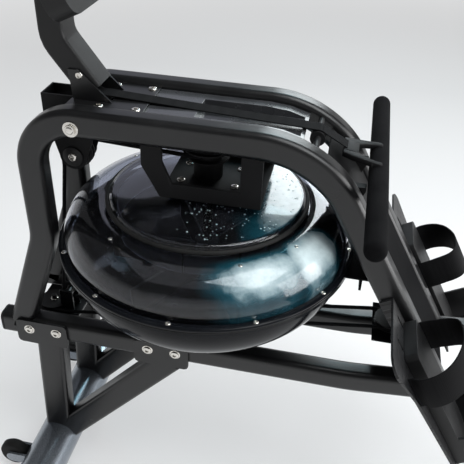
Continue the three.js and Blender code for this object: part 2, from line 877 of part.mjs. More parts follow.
const domeProfile = [
  [domeShoulderRadius - tankWall, domeFlangeUnder],
  [tankFlangeRadius, domeFlangeUnder],
  [tankFlangeRadius, tankFlangeTop],
  ...domeOuter,
  ...domeInner.slice(0, -1),
  [domeShoulderRadius - tankWall, domeFlangeUnder],
];
addPiece('tank_dome', turnedAboutZ(domeProfile, tankSegments, tankX, 0), smokedClear);

// Shaft and paddle
addPiece('paddle_shaft', rodAlongZ(shaftRadius, paddleBottom, shaftTop, tankX, 0, 24), steel);
const paddleParts = [rodAlongZ(paddleHubRadius, paddleBottom, paddleBottom + paddleTall, 0, 0, 24)];
for (let blade = 0; blade < bladeCount; blade += 1) {
  const lift = paddleTall / 8;
  paddleParts.push(block(
    paddleHubRadius / 2, paddleRadius, -bladeThick / 2, bladeThick / 2, paddleBottom + lift, paddleBottom + paddleTall - lift,
  ).rotateZ((blade / bladeCount) * 2 * Math.PI));
}
const paddleBore = rodAlongZ(shaftRadius + clearance, paddleBottom - overrun, paddleBottom + paddleTall + overrun, 0, 0, 24);
addPiece('paddle', cut(joined(...paddleParts), paddleBore), moulded).position.x = tankX;

// Pull drum: cord spool below, belt spool above, free on the shaft
const cordFlange = cordSpoolRadius + drumFlangeProud + cordRadius;
const beltFlange = beltSpoolRadius + drumFlangeProud;
const drumBore = shaftRadius + clearance;
const drumProfile = [];
let drumLevel = drumBottom;
[
  [cordFlange, drumFlange], [cordSpoolRadius, cordSpoolTall], [beltFlange, drumFlange],
  [beltSpoolRadius, beltSpoolTall], [beltFlange, drumFlange],
].forEach(([radius, tall]) => {
  drumProfile.push([radius, drumLevel]);
  drumLevel += tall;
  drumProfile.push([radius, drumLevel]);
});
drumProfile.unshift([drumBore, drumBottom]);
drumProfile.push([drumBore, drumLevel], [drumBore, drumBottom]);
addPiece('pull_drum', turnedAboutZ(drumProfile, 24, tankX, 0), moulded);

// Hangers and their base with the bearing
const hangerShape = polygon([
  [hangerFrontX, topTubeHeight],
  [hangerFrontX, hangerBottom + hangerChamferDeep],
  [hangerFrontX + hangerChamferX, hangerBottom],
  [hangerRearX, hangerBottom],
  [hangerRearX, topTubeHeight],
  [hangerRearX - hangerArm, topTubeHeight],
  [hangerRearX - hangerArm, hangerBottom + hangerFloor],
  [hangerFrontX + hangerArm + hangerChamferX / 2, hangerBottom + hangerFloor],
  [hangerFrontX + hangerArm, hangerBottom + hangerChamferDeep + hangerFloor / 3],
  [hangerFrontX + hangerArm, topTubeHeight],
]);
const hangerBody = cut(slabAlongY(hangerShape, -hangerThick / 2, hangerThick / 2), archClearBody);
addPair('hanger', hangerBody, frameBlack, archY);

const baseHalf = archY - hangerThick / 2 - clearance;
const bossBottom = domeTop + clearance;
const hangerBase = cut(
  joined(
    block(hangerFrontX + hangerChamferX, hangerRearX, -baseHalf, baseHalf, hangerBottom, hangerBottom + hangerBaseThick),
    rodAlongZ(bossRadius, bossBottom, hangerBottom + hangerBaseThick / 2, tankX, 0, 28),
    rodAlongZ(bearingRadius, hangerBottom + hangerBaseThick / 2, drumBottom - clearance, tankX, 0, 24),
  ),
  rodAlongZ(shaftRadius + clearance, bossBottom - overrun, drumBottom + overrun, tankX, 0, 24),
);
addPiece('hanger_base', hangerBase, frameBlack);

// Front belt pulley on its through axle
const beltGroove = beltWide + 1.5 * clearance;
const beltPulleyProfile = [
  [axleRadius + clearance, -beltPulleyWide / 2], [beltPulleyRim, -beltPulleyWide / 2],
  [beltPulleyRim, -beltGroove / 2], [beltPulleyRadius, -beltGroove / 2],
  [beltPulleyRadius, beltGroove / 2], [beltPulleyRim, beltGroove / 2],
  [beltPulleyRim, beltPulleyWide / 2], [axleRadius + clearance, beltPulleyWide / 2],
  [axleRadius + clearance, -beltPulleyWide / 2],
];
const frontPulley = addPiece('front_pulley', turned(beltPulleyProfile, 24), moulded);
frontPulley.position.set(beltPulleyX, 0, beltPulleyHeight);

const axleFace = archY + tubeWide / 2 + clearance;
const frontAxle = joined(
  rodAlongY(axleRadius, -axleFace - axleHeadTall / 2, axleFace + axleHeadTall / 2, 0, 0, 16),
  rodAlongY(axleHeadRadius, axleFace, axleFace + axleHeadTall, 0, 0, 24),
  rodAlongY(axleHeadRadius, -axleFace - axleHeadTall, -axleFace, 0, 0, 24),
);
addPiece('front_axle', frontAxle, steel).position.set(beltPulleyX, 0, beltPulleyHeight);

// Guide roller with its own stub axle between the arches
const guideRoller = joined(
  rodAlongY(guideRadius, -guideWide / 2, guideWide / 2, 0, 0, 24),
  rodAlongY(guidePin, -innerHalf, innerHalf, 0, 0, 16),
);
addPiece('guide_roller', guideRoller, steel).position.set(guideX, 0, guideHeight);

// Guard: two cheeks with a front wall, and the pin of the upper cord pulley
const guardShape = new THREE.Shape();
guardShape.moveTo(guardFrontX, guardTop);
guardShape.lineTo(guardFrontX, guardTop - guardBoxTall);
guardShape.lineTo(upperPulleyX - guardLobe, upperPulleyHeight);
guardShape.absarc(upperPulleyX, upperPulleyHeight, guardLobe, Math.PI, 2 * Math.PI, false);
guardShape.lineTo(guardRearX, guardTop - guardBoxTall);
guardShape.lineTo(guardRearX, guardTop);
guardShape.closePath();
const guardPinHalf = guardHalf + guardThick / 2;
const guardBody = cut(
  joined(
    slabAlongY(guardShape, -guardHalf - guardThick, -guardHalf),
    slabAlongY(guardShape, guardHalf, guardHalf + guardThick),
    block(guardFrontX, guardFrontX + guardThick, -guardPinHalf, guardPinHalf, guardTop - guardBoxTall, guardTop),
    rodAlongY(cordPulleyPin, -guardPinHalf, guardPinHalf, upperPulleyX, upperPulleyHeight, 16),
  ),
  rodAlongY(axleRadius + clearance, -guardHalf - overrun, guardHalf + overrun, beltPulleyX, beltPulleyHeight, 12),
);
addPiece('pulley_guard', guardBody, greySheet);

// Cord pulleys
const cordGrooveWide = cordDiameter + 3 * clearance;
const uprightPulley = pulleyProfile(
  cordPulleyPin + clearance, cordPulleyGroove, cordPulleyRim, cordPulleyWide, cordGrooveWide,
);
addPiece('upper_cord_pulley', turned(uprightPulley, 20), moulded).position.set(upperPulleyX, 0, upperPulleyHeight);
const flatPulley = pulleyProfile(
  cordPulleyPin + clearance, flatPulleyGroove, flatPulleyRim, cordPulleyWide - 2 * clearance, cordGrooveWide,
);
addPiece('lower_cord_pulley', turnedAboutZ(flatPulley, 20, 0, 0), moulded)
  .position.set(lowerPulleyX, 0, lowerPulleyHeight);
addPiece('rear_cord_pulley', turnedAboutZ(flatPulley, 20, 0, 0), moulded)
  .position.set(rearPulleyX, 0, rearPulleyHeight);

// Belt from the guide roller over the front pulley, twisting on to the drum
const beltGap = clearance + beltThick / 2;
const frontCentre = new THREE.Vector2(beltPulleyX, beltPulleyHeight);
const guideCentre = new THREE.Vector2(guideX, guideHeight);
const frontBeltRadius = beltPulleyRadius + beltGap;
const guideBeltRadius = guideRadius + beltGap;
const yokeRoot = new THREE.Vector2(yokeRootX, yokeRootHeight);
const topTangent = tangentAngle(frontCentre, frontBeltRadius, guideCentre, guideBeltRadius);
const yokeTangent = tangentAngle(guideCentre, guideBeltRadius, yokeRoot, 0);
const beltSection = new THREE.Shape(roundedPoints(beltWide, beltThick, beltThick / 4, 1));
const beltPoints = [
  ...wrapPoints(guideCentre, guideBeltRadius, yokeTangent, topTangent),
  ...wrapPoints(frontCentre, frontBeltRadius, topTangent, 1.5 * Math.PI),
];
const beltSides = beltPoints.map(() => acrossY);
const drumBeltRadius = beltSpoolRadius + beltGap;
const drumReach = tankX - beltPulleyX;
const drumTurn = Math.asin(drumBeltRadius / drumReach);
const drumTouch = new THREE.Vector3(
  tankX - drumBeltRadius * Math.sin(drumTurn), drumBeltRadius * Math.cos(drumTurn), beltPulleyHeight - frontBeltRadius,
);
const twistStart = beltPoints[beltPoints.length - 1].clone();
const twistSteps = 12;
for (let step = 1; step <= twistSteps; step += 1) {
  const share = step / twistSteps;
  const angle = share * Math.PI / 2;
  beltPoints.push(twistStart.clone().lerp(drumTouch, share));
  beltSides.push(new THREE.Vector3(0, Math.cos(angle), Math.sin(angle)));
}
addPiece('drive_belt', sweep(beltSection, beltPoints, beltSides), webbing);

// Belt end between the guide roller and the yoke
const rollerLeave = new THREE.Vector3(
  guideX + guideBeltRadius * Math.cos(yokeTangent), 0, guideHeight + guideBeltRadius * Math.sin(yokeTangent),
);
const yokePoint = new THREE.Vector3(yokeRootX, 0, yokeRootHeight);
const endDirection = yokePoint.clone().sub(rollerLeave).normalize();
const beltEndPoints = [
  rollerLeave.clone().addScaledVector(endDirection, clearance),
  yokePoint.clone().addScaledVector(endDirection, -yokeRootLong / 2 - clearance),
];
addPiece('belt_end', sweep(beltSection, beltEndPoints, acrossY), webbing);

// Recoil cord: drum, upper pulley, turning pin, rear pulley, lower pulley, cleat
const cordOnPulley = cordPulleyGroove + clearance + cordRadius;
const cordOnFlat = flatPulleyGroove + clearance + cordRadius;
const cordOnPin = turnPinRadius + clearance + cordRadius;
const cordOnDrum = cordSpoolRadius + clearance + cordRadius;
const cordDrumHeight = drumBottom + drumFlange + cordSpoolTall / 2;
const upperCentre = new THREE.Vector2(upperPulleyX, upperPulleyHeight);
const turnCentre = new THREE.Vector2(turnPinX, turnPinHeight);
const dropAngle = tangentAngle(turnCentre, cordOnPin, upperCentre, cordOnPulley);
const upperLead = new THREE.Vector3(upperPulleyX + leadShare * cordPulleyRim, 0, upperPulleyHeight + cordOnPulley);
const cordDrumTurn = Math.asin(cordOnDrum / (tankX - upperLead.x));
const cordPoints = [
  new THREE.Vector3(
    tankX - cordOnDrum * Math.sin(cordDrumTurn), -cordOnDrum * Math.cos(cordDrumTurn), cordDrumHeight,
  ),
  upperLead,
  ...wrapPoints(upperCentre, cordOnPulley, Math.PI / 2, dropAngle),
  ...wrapPoints(turnCentre, cordOnPin, dropAngle, 1.5 * Math.PI),
];
const lowRunStart = cordPoints[cordPoints.length - 1].clone();
const rearLead = new THREE.Vector3(rearPulleyX - leadShare * flatPulleyRim, cordOnFlat, rearPulleyHeight);
[0.3, 0.6, 1].forEach((share) => cordPoints.push(lowRunStart.clone().lerp(rearLead, share)));
const flatTurn = (pulleyX, height, fromAngle, toAngle) => {
  const turn = arcAround(cordOnFlat, fromAngle, toAngle, (x, y) => new THREE.Vector3(pulleyX + x, y, height));
  cordPoints.push(...turn);
};
flatTurn(rearPulleyX, rearPulleyHeight, Math.PI / 2, -Math.PI / 2);
const backStart = new THREE.Vector3(rearPulleyX - leadShare * flatPulleyRim, -cordOnFlat, rearPulleyHeight);
const backEnd = new THREE.Vector3(lowerPulleyX + leadShare * flatPulleyRim, -cordOnFlat, lowerPulleyHeight);
[0, 0.5, 1].forEach((share) => cordPoints.push(backStart.clone().lerp(backEnd, share)));
flatTurn(lowerPulleyX, lowerPulleyHeight, -Math.PI / 2, -1.5 * Math.PI);
cordPoints.push(new THREE.Vector3(cleatX - clearance, cordEndY, lowerPulleyHeight));
addPiece('recoil_cord', sweep(roundSection(cordRadius, 8), cordPoints), webbing);

// Top cover: a sheet between the arches with a sunk trough under the belt
const coverLineTop = coverTop - coverThick / 2;
const coverBend = rearBendRadius + coverLineTop - topTubeHeight;
const bendCentreX = rearBendX - rearBendRadius * Math.tan(diagonalAngle / 2);
const bendCentreHeight = topTubeHeight - rearBendRadius;
const sheetSection = polygon([
  [-innerHalf, -coverThick / 2], [innerHalf, -coverThick / 2], [innerHalf, coverThick / 2], [-innerHalf, coverThick / 2],
]);
const bendCentre = new THREE.Vector2(bendCentreX, bendCentreHeight);
const coverEndAngle = Math.acos((coverRearX - bendCentreX) / coverBend);
const coverPoints = [
  new THREE.Vector3(coverFrontX, 0, coverLineTop),
  ...arcPoints(bendCentre, coverBend, Math.PI / 2, coverEndAngle),
];
const troughRearX = coverRearX - coverThick * 2;
const troughTop = coverTop + overrun;
const troughOuter = block(
  troughFrontX - coverThick, troughRearX + coverThick, -troughHalf - coverThick, troughHalf + coverThick,
  coverTop - troughDeep - coverThick, coverTop - coverThick / 2,
);
const troughHollow = block(
  troughFrontX, troughRearX, -troughHalf, troughHalf, coverTop - troughDeep, troughTop,
);
const aboveSheet = sweep(polygon([
  [-innerHalf, coverThick / 2], [innerHalf, coverThick / 2],
  [innerHalf, troughDeep], [-innerHalf, troughDeep],
]), coverPoints, acrossY);
const topCover = cut(
  joined(sweep(sheetSection, coverPoints, acrossY), troughOuter),
  troughHollow,
  aboveSheet,
);
addPiece('top_cover', topCover, greySheet);

// Rear panel down the bend and the slope, with two ledges that the handle rests on
const panelLine = coverBend;
const panelStartAngle = Math.acos((panelStartX - bendCentreX) / panelLine);
const panelOffset = panelLine - rearBendRadius;
const panelEndX = diagonalX(panelEndHeight) + panelOffset / Math.sin(diagonalAngle);
const panelSheet = sweep(sheetSection, [
  ...arcPoints(bendCentre, panelLine, panelStartAngle, Math.PI / 2 - diagonalAngle),
  new THREE.Vector3(panelEndX, 0, panelEndHeight),
], acrossY);
const restTop = handleHeight - handleRadius - clearance;
const restBackX = diagonalX(restTop) + panelOffset / Math.sin(diagonalAngle);
const restShape = polygon([
  [restBackX - coverThick, restTop],
  [restBackX - coverThick + restLong / 3, restTop - restLong * 0.9],
  [restBackX + restLong * 0.6, restTop - restLong / 6],
  [restBackX + restLong * 0.6, restTop],
]);
const panelParts = [panelSheet];
sides.forEach(([, side]) => {
  const middle = side * (restY - restWide * 1.2);
  panelParts.push(slabAlongY(restShape, middle - restWide / 2, middle + restWide / 2));
});
addPiece('rear_panel', joined(...panelParts), greySheet);

// Console base with gussets, arm, housing, screen and buttons
const plateUnder = coverTop + clearance;
const plateTop = plateUnder + consolePlateThick;
const consolePlate = cut(
  block(consolePlateFrontX, consolePlateRearX, -innerHalf, innerHalf, plateUnder, plateTop),
  block(consolePlateFrontX - overrun, consoleSlotRearX, -guardHalf - guardThick - guardGap, guardHalf + guardThick + guardGap,
    plateUnder - overrun, plateTop + overrun),
);
const gussetFrontX = consolePlateFrontX + earThick;
const gussetShape = polygon([
  [gussetFrontX, plateTop - consolePlateThick / 2],
  [gussetFrontX + gussetLong, plateTop - consolePlateThick / 2],
  [gussetFrontX + gussetLong / 5, plateTop + gussetTall],
  [gussetFrontX - earThick, plateTop + gussetTall],
]);
addPiece('console_base', joined(
  consolePlate,
  slabAlongY(gussetShape, gussetHalf, gussetHalf + gussetThick),
  slabAlongY(gussetShape, -gussetHalf - gussetThick, -gussetHalf),
), frameBlack);

const armHalf = gussetHalf - clearance;
const armLine = bentLine([
  [consoleArmFootX, consoleArmFootHeight],
  [consoleArmKneeX, consoleArmKneeHeight, consoleArmBend],
  [consoleArmKneeX, consolePivotHeight],
]);
const armBody = cut(
  joined(
    sweep(tubeSection(2 * armHalf, consoleArmDeep, tubeCorner / 2, consoleArmWall), armLine, acrossY),
    rodAlongY(consoleBoss, -armHalf, armHalf, consoleArmKneeX, consolePivotHeight, 24),
  ),
  block(consoleArmFootX - gussetLong, consoleArmFootX + gussetLong, -gussetHalf - overrun, gussetHalf + overrun,
    plateTop - gussetTall, consoleArmFootHeight),
);
addPiece('console_arm', armBody, moulded);

const consoleHead = new THREE.Group();
consoleHead.position.set(consoleArmKneeX, 0, consolePivotHeight);
consoleHead.rotation.y = -consoleTilt;
machine.add(consoleHead);

// In the head's own frame the face looks along +X and its top lies along +Z
const housingBack = consoleSetback;
const housingFront = housingBack + consoleDeep;
const towardsX = new THREE.Matrix4().makeBasis(
  new THREE.Vector3(0, 1, 0), new THREE.Vector3(0, 0, 1), new THREE.Vector3(1, 0, 0),
);
const housingBlank = new THREE.ExtrudeGeometry(
  new THREE.Shape(roundedPoints(consoleWide, consoleTall, consoleCorner, 4)),
  { depth: consoleDeep, bevelEnabled: false },
).applyMatrix4(towardsX).translate(housingBack, 0, 0);
const earShape = new THREE.Shape();
earShape.moveTo(0, consoleBoss);
earShape.absarc(0, 0, consoleBoss, Math.PI / 2, 3 * Math.PI / 2, false);
earShape.lineTo(housingBack + overrun / 2, -consoleBoss);
earShape.lineTo(housingBack + overrun / 2, consoleBoss);
earShape.closePath();
const earInner = armHalf + clearance;
const screenPocket = block(
  housingFront - screenThick - clearance, housingFront + overrun,
  -screenWide / 2 - clearance, screenWide / 2 + clearance,
  screenOffset - screenTall / 2 - clearance, screenOffset + screenTall / 2 + clearance,
);
const rodAlongX = (radius, lowX, highX, y, z, segments) => (
  new THREE.CylinderGeometry(radius, radius, highX - lowX, segments).rotateZ(Math.PI / 2)
    .translate((lowX + highX) / 2, y, z)
);
const buttonFloor = housingFront - buttonPocket;
const buttonPlaces = [-1, 1].map((side) => side * buttonSpacing / 2);
const buttonHoles = buttonPlaces.map((y) => (
  rodAlongX(buttonRadius + clearance, buttonFloor, housingFront + overrun, y, -buttonOffset, 24)
));
const housing = cut(
  joined(
    housingBlank,
    slabAlongY(earShape, earInner, earInner + consoleEarThick),
    slabAlongY(earShape, -earInner - consoleEarThick, -earInner),
  ),
  screenPocket,
  ...buttonHoles,
);
addPiece('console_housing', housing, moulded, consoleHead);
addPiece('console_screen', block(
  housingFront - screenThick, housingFront, -screenWide / 2, screenWide / 2,
  screenOffset - screenTall / 2, screenOffset + screenTall / 2,
), screenGlass, consoleHead);
const buttonTravel = buttonTall - buttonPocket + clearance;
buttonPlaces.forEach((y, index) => {
  const button = rodAlongX(buttonRadius, buttonFloor + buttonTravel, buttonFloor + buttonTravel + buttonTall - buttonTravel / 2,
    y, -buttonOffset, 24);
  addPiece(`console_button_${index + 1}`, button, moulded, consoleHead);
});

// Handle bar with round ends, and the yoke that ties it to the belt
const gripHalf = handleLength / 2;
const endRound = handleRadius / 3;
const gripProfile = [
  [0, -gripHalf], [handleRadius - endRound, -gripHalf], [handleRadius - endRound * 0.3, -gripHalf + endRound * 0.3],
  [handleRadius, -gripHalf + endRound], [handleRadius, gripHalf - endRound],
  [handleRadius - endRound * 0.3, gripHalf - endRound * 0.3], [handleRadius - endRound, gripHalf], [0, gripHalf],
];
addPiece('handle_bar', turned(gripProfile, 28), foam).position.z = handleHeight;

const yokeTilt = Math.atan2(yokeRootHeight - handleHeight, -yokeRootX);
const yokeReach = Math.hypot(yokeRootHeight - handleHeight, yokeRootX);
const yokeParts = [block(
  -yokeReach - yokeRootLong / 2, -yokeReach + yokeRootLong / 2, -yokeRootHalf, yokeRootHalf,
  -yokeRootThick / 2, yokeRootThick / 2,
)];
sides.forEach(([, side]) => {
  const middle = side * collarY;
  yokeParts.push(rodAlongY(collarRadius, middle - collarWide / 2, middle + collarWide / 2, 0, 0, 24));
  const inner = middle - side * collarWide / 2;
  const outer = middle + side * collarWide / 2;
  const arm = slabAlongZ(polygon([
    [-yokeReach + yokeRootLong / 2, side * (yokeRootHalf - yokeArmThick)],
    [-collarRadius / 2, inner],
    [-collarRadius / 2, outer],
    [-yokeReach, side * yokeRootHalf],
    [-yokeReach, side * (yokeRootHalf - yokeArmThick)],
  ]), -yokeArmThick / 2, yokeArmThick / 2);
  yokeParts.push(arm);
});
const yokeBody = cut(
  joined(...yokeParts),
  rodAlongY(handleRadius + clearance, -collarY - collarWide, collarY + collarWide, 0, 0, 28),
);
addPiece('handle_yoke', yokeBody.rotateY(yokeTilt), moulded).position.z = handleHeight;

// Panel between the sloping tubes, with the tab under the tank flange and the rear cord pulley's tab
const bridgeX = (height) => diagonalX(height) + bridgeOffset / Math.sin(diagonalAngle);
const bridgeFace = bridgeThick / Math.sin(diagonalAngle);
const bridgeStrip = slabAlongY(polygon([
  [bridgeX(bridgeTop), bridgeTop], [bridgeX(bridgeBottom), bridgeBottom],
  [bridgeX(bridgeBottom) + bridgeFace, bridgeBottom], [bridgeX(bridgeTop) + bridgeFace, bridgeTop],
]), -innerHalf, innerHalf);
const cordTabTop = rearPulleyHeight - cordPulleyWide / 2;
const tankTabTop = bowlFlangeTop - tankFlangeThick - clearance;
const cordTabHalf = innerHalf - earThick;
const bridgeBody = joined(
  bridgeStrip,
  block(cordTabFrontX, bridgeX(cordTabTop) + bridgeFace / 2, -cordTabHalf, cordTabHalf, cordTabTop - bridgeThick, cordTabTop),
  rodAlongZ(cordPulleyPin, cordTabTop - bridgeThick / 2, cordTabTop + cordPulleyWide + earThick, rearPulleyX, 0, 16),
  block(tankTabFrontX, bridgeX(tankTabTop) + bridgeFace / 2, -innerHalf, innerHalf, tankTabTop - bridgeThick, tankTabTop),
  block(tankTabFlangeX, tankTabFlangeX + bridgeThick, -innerHalf, innerHalf, tankTabTop - tankTabDrop, tankTabTop),
);
addPiece('slope_panel', bridgeBody, greySheet);

// Footrests: in each group +X runs down the slope and +Z is the plate's outward normal
const soleInnerY = footInnerY + strapThick + 2 * clearance;
function footPlateBody() {
  const toeY = footInnerY + footToeWide;
  const heelY = footInnerY + footHeelWide;
  const face = new THREE.Shape();
  face.moveTo(0, footInnerY);
  face.lineTo(footPlateLong, footInnerY);
  face.lineTo(footPlateLong, heelY - footCorner);
  face.absarc(footPlateLong - footCorner, heelY - footCorner, footCorner, 0, Math.PI / 2, false);
  face.lineTo(footKneeLong, footInnerY + footKneeWide);
  face.lineTo(footCorner, toeY);
  face.absarc(footCorner, toeY - footCorner, footCorner, Math.PI / 2, Math.PI, false);
  face.closePath();
  const slots = [0.06, 0.32, 0.58, 0.8].flatMap((share) => [0.22, 0.7].map((across) => (
    block(
      share * footPlateLong, share * footPlateLong + slotLong,
      footInnerY + across * footHeelWide - slotWide / 2, footInnerY + across * footHeelWide + slotWide / 2,
      -overrun, footPlateThick + overrun,
    )
  )));
  const flange = block(0, footFlangeLong, archY + tubeWide / 2 + clearance, footInnerY + footPlateThick,
    -footFlangeDeep, footPlateThick);
  return cut(joined(slabAlongZ(face, 0, footPlateThick), flange), ...slots);
}

function heelCupBody() {
  const low = footPlateThick + clearance;
  const top = low + soleThick;
  const soleEnd = soleStart + soleLong;
  const middleY = soleInnerY + soleWide / 2;
  const sole = new THREE.Shape(roundedPoints(soleLong, soleWide, soleCorner, 4).map((point) => (
    new THREE.Vector2(point.x + soleStart + soleLong / 2, point.y + middleY)
  )));
  const cupRadius = soleWide / 2;
  const wall = new THREE.Shape();
  wall.moveTo(soleEnd - heelCupLong, middleY - cupRadius);
  wall.absarc(soleEnd - cupRadius, middleY, cupRadius, -Math.PI / 2, Math.PI / 2, false);
  wall.lineTo(soleEnd - heelCupLong, middleY + cupRadius);
  wall.lineTo(soleEnd - heelCupLong, middleY + cupRadius - heelWallThick);
  wall.absarc(soleEnd - cupRadius, middleY, cupRadius - heelWallThick, Math.PI / 2, -Math.PI / 2, true);
  wall.lineTo(soleEnd - heelCupLong, middleY - cupRadius + heelWallThick);
  wall.closePath();
  return joined(slabAlongZ(sole, low, top), slabAlongZ(wall, top - soleThick / 2, top + heelWallTall));
}

function strapBody(strapStart) {
  const innerY = footInnerY + strapThick / 2;
  const low = footPlateThick + clearance;
  const loopShares = [
    [0, 0], [0, 0.32], [0.02, 0.56], [0.04, 0.76], [0.09, 0.91], [0.18, 0.98], [0.31, 1], [0.46, 0.99],
    [0.61, 0.92], [0.76, 0.8], [0.87, 0.64], [0.93, 0.46], [0.95, 0.3], [0.94, 0.18], [0.9, 0.08], [0.9, 0],
  ];
  const band = polygon([
    [-strapWide / 2, -strapThick / 2], [strapWide / 2, -strapThick / 2],
    [strapWide / 2, strapThick / 2], [-strapWide / 2, strapThick / 2],
  ]);
  const loop = loopShares.map(([across, rise]) => (
    new THREE.Vector3(strapStart + strapWide / 2, innerY + across * strapSpan, low + rise * strapTall)
  ));
  return sweep(band, loop, new THREE.Vector3(1, 0, 0));
}

const footPlate = footPlateBody();
const heelCup = heelCupBody();
sides.forEach(([word, side]) => {
  const footrest = new THREE.Group();
  footrest.position.set(diagonalX(footTopHeight) + footAhead, 0, footTopHeight);
  footrest.rotation.y = footAngle;
  machine.add(footrest);
  const turnedFor = (geometry) => (side < 0 ? mirrored(joined(geometry)) : joined(geometry));
  addPiece(`footplate_${word}`, turnedFor(footPlate), frameBlack, footrest);
  addPiece(`heel_cup_${word}`, turnedFor(heelCup), moulded, footrest);
  const strap = strapBody(side < 0 ? strapStartLeft : strapStartRight);
  addPiece(`strap_${word}`, turnedFor(strap), webbing, footrest);
});

// Seat: base on two flanged wheel axles, and a crowned cushion
const seatAxleHeight = railTop + seatWheelRadius + clearance;
const seatBaseUnder = seatAxleHeight + seatFlangeRadius + slackFit;
const cheekBottom = railHighHeight - tubeDeep / 2 - keeperThick - slackFit;
const seatParts = [block(
  seatX - seatBaseLong / 2, seatX + seatBaseLong / 2, -seatBaseWide / 2, seatBaseWide / 2,
  seatBaseUnder, seatBaseUnder + seatBaseThick,
)];
sides.forEach(([, side]) => {
  const near = side * cheekY;
  const far = side * (cheekY + cheekThick);
  seatParts.push(block(
    seatX - seatBaseLong / 2, seatX + seatBaseLong / 2, Math.min(near, far), Math.max(near, far),
    cheekBottom, seatBaseUnder + seatBaseThick / 2,
  ));
  const lip = side * (cheekY + cheekThick + keeperReach);
  seatParts.push(block(
    seatX - seatBaseLong / 4, seatX + seatBaseLong / 4, Math.min(near, lip), Math.max(near, lip),
    cheekBottom, cheekBottom + keeperThick,
  ));
});
const axleHoles = [-1, 1].map((end) => rodAlongY(
  seatAxleRadius + clearance, -cheekY - overrun, cheekY + overrun, seatX + end * seatWheelbase / 2, seatAxleHeight, 16,
));
addPiece('seat_base', cut(joined(...seatParts), ...axleHoles), frameBlack);

const flangeInnerY = innerHalf - seatFlangeWide - slackFit / 4;
function seatAxleBody() {
  const parts = [rodAlongY(seatAxleRadius, -seatAxleHalf, seatAxleHalf, 0, 0, 16)];
  sides.forEach(([, side]) => {
    const wheel = [
      [0, flangeInnerY], [seatFlangeRadius, flangeInnerY], [seatFlangeRadius, flangeInnerY + seatFlangeWide],
      [seatWheelRadius, flangeInnerY + seatFlangeWide + clearance], [seatWheelRadius, archY + seatWheelWide / 2],
      [0, archY + seatWheelWide / 2],
    ];
    const body = turned(wheel, 20);
    parts.push(side > 0 ? body : body.rotateX(Math.PI));
  });
  return joined(...parts);
}
const seatAxle = seatAxleBody();
[['front', -1], ['rear', 1]].forEach(([word, end]) => {
  addPiece(`seat_axle_${word}`, seatAxle, moulded).position.set(seatX + end * seatWheelbase / 2, 0, seatAxleHeight);
});

// Cushion: rings of a rounded outline, drawn in at the base, with two lobes and a groove between them
function cushionBody() {
  const around = 40;
  const levels = [
    [0.95, 0], [1, 0.16], [1, 0.42], [0.97, 0.66], [0.9, 0.84], [0.78, 0.94], [0.6, 1], [0.4, 1], [0.2, 1],
  ];
  const vertices = [];
  const indices = [];
  const body = cushionThick - cushionCrown;
  levels.forEach(([reach, rise]) => {
    for (let step = 0; step < around; step += 1) {
      const angle = (step / around) * 2 * Math.PI;
      const bulge = (value) => Math.sign(value) * Math.abs(value) ** 0.55;
      const x = reach * cushionLong / 2 * bulge(Math.cos(angle));
      const y = reach * cushionWide / 2 * bulge(Math.sin(angle));
      const side = 2 * y / cushionWide;
      const lobe = Math.cos((Math.abs(side) - 0.5) * Math.PI * 0.8);
      const waist = 1 - cushionDrawn / cushionWide * Math.sin(rise * Math.PI);
      const groove = rise > 0.6 ? cushionDip * Math.exp(-((side / 0.16) ** 2)) * rise : 0;
      vertices.push(x * waist, y * waist, rise * body + rise * cushionCrown * lobe - groove);
    }
  });
  const centreTop = vertices.length / 3;
  vertices.push(0, 0, body + cushionCrown * Math.cos(0.4 * Math.PI) - cushionDip);
  vertices.push(0, 0, 0);
  for (let step = 0; step < around; step += 1) {
    const next = (step + 1) % around;
    for (let level = 0; level < levels.length - 1; level += 1) {
      const low = level * around;
      const high = low + around;
      indices.push(low + step, low + next, high + next, low + step, high + next, high + step);
    }
    const ring = (levels.length - 1) * around;
    indices.push(ring + step, ring + next, centreTop);
    indices.push(next, step, centreTop + 1);
  }
  const geometry = new THREE.BufferGeometry();
  geometry.setAttribute('position', new THREE.Float32BufferAttribute(vertices, 3));
  geometry.setIndex(indices);
  geometry.computeVertexNormals();
  return geometry;
}
addPiece('seat_cushion', cushionBody(), cushionSkin)
  .position.set(seatX, 0, seatBaseUnder + seatBaseThick + clearance);

// The origin is on the floor, half way along the whole length
const frontmostX = wheelX - wheelRadius;
machine.position.x = -(frontmostX + rearEndX) / 2;

export default machine;
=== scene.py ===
"""A water rowing machine: its looks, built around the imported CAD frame. Metres, +Z up, +X to the rear."""
import math
import random
import bpy
from mathutils import Matrix, Vector


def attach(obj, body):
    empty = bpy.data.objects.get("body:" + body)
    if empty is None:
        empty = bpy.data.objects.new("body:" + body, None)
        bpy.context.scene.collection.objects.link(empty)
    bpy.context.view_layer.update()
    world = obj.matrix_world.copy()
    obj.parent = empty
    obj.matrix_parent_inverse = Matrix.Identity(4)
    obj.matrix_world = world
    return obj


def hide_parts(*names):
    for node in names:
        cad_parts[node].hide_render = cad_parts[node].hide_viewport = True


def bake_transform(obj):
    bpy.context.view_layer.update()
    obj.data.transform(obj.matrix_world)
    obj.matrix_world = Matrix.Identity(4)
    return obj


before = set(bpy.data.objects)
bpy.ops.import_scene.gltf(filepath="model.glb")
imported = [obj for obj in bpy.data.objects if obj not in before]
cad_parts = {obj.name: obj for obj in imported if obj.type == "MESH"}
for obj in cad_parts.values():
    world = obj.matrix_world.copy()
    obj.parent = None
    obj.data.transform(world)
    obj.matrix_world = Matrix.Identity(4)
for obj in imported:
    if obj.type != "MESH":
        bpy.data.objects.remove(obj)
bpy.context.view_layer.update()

# Lengths are in millimetres where they go through at() or into a profile or section, and in metres elsewhere.
# The CAD's X counts from the plumb line of the resting handle, and the object's from its middle
PLUMB_X = -0.385
TANK_X = -268
SLOPE = math.radians(60)
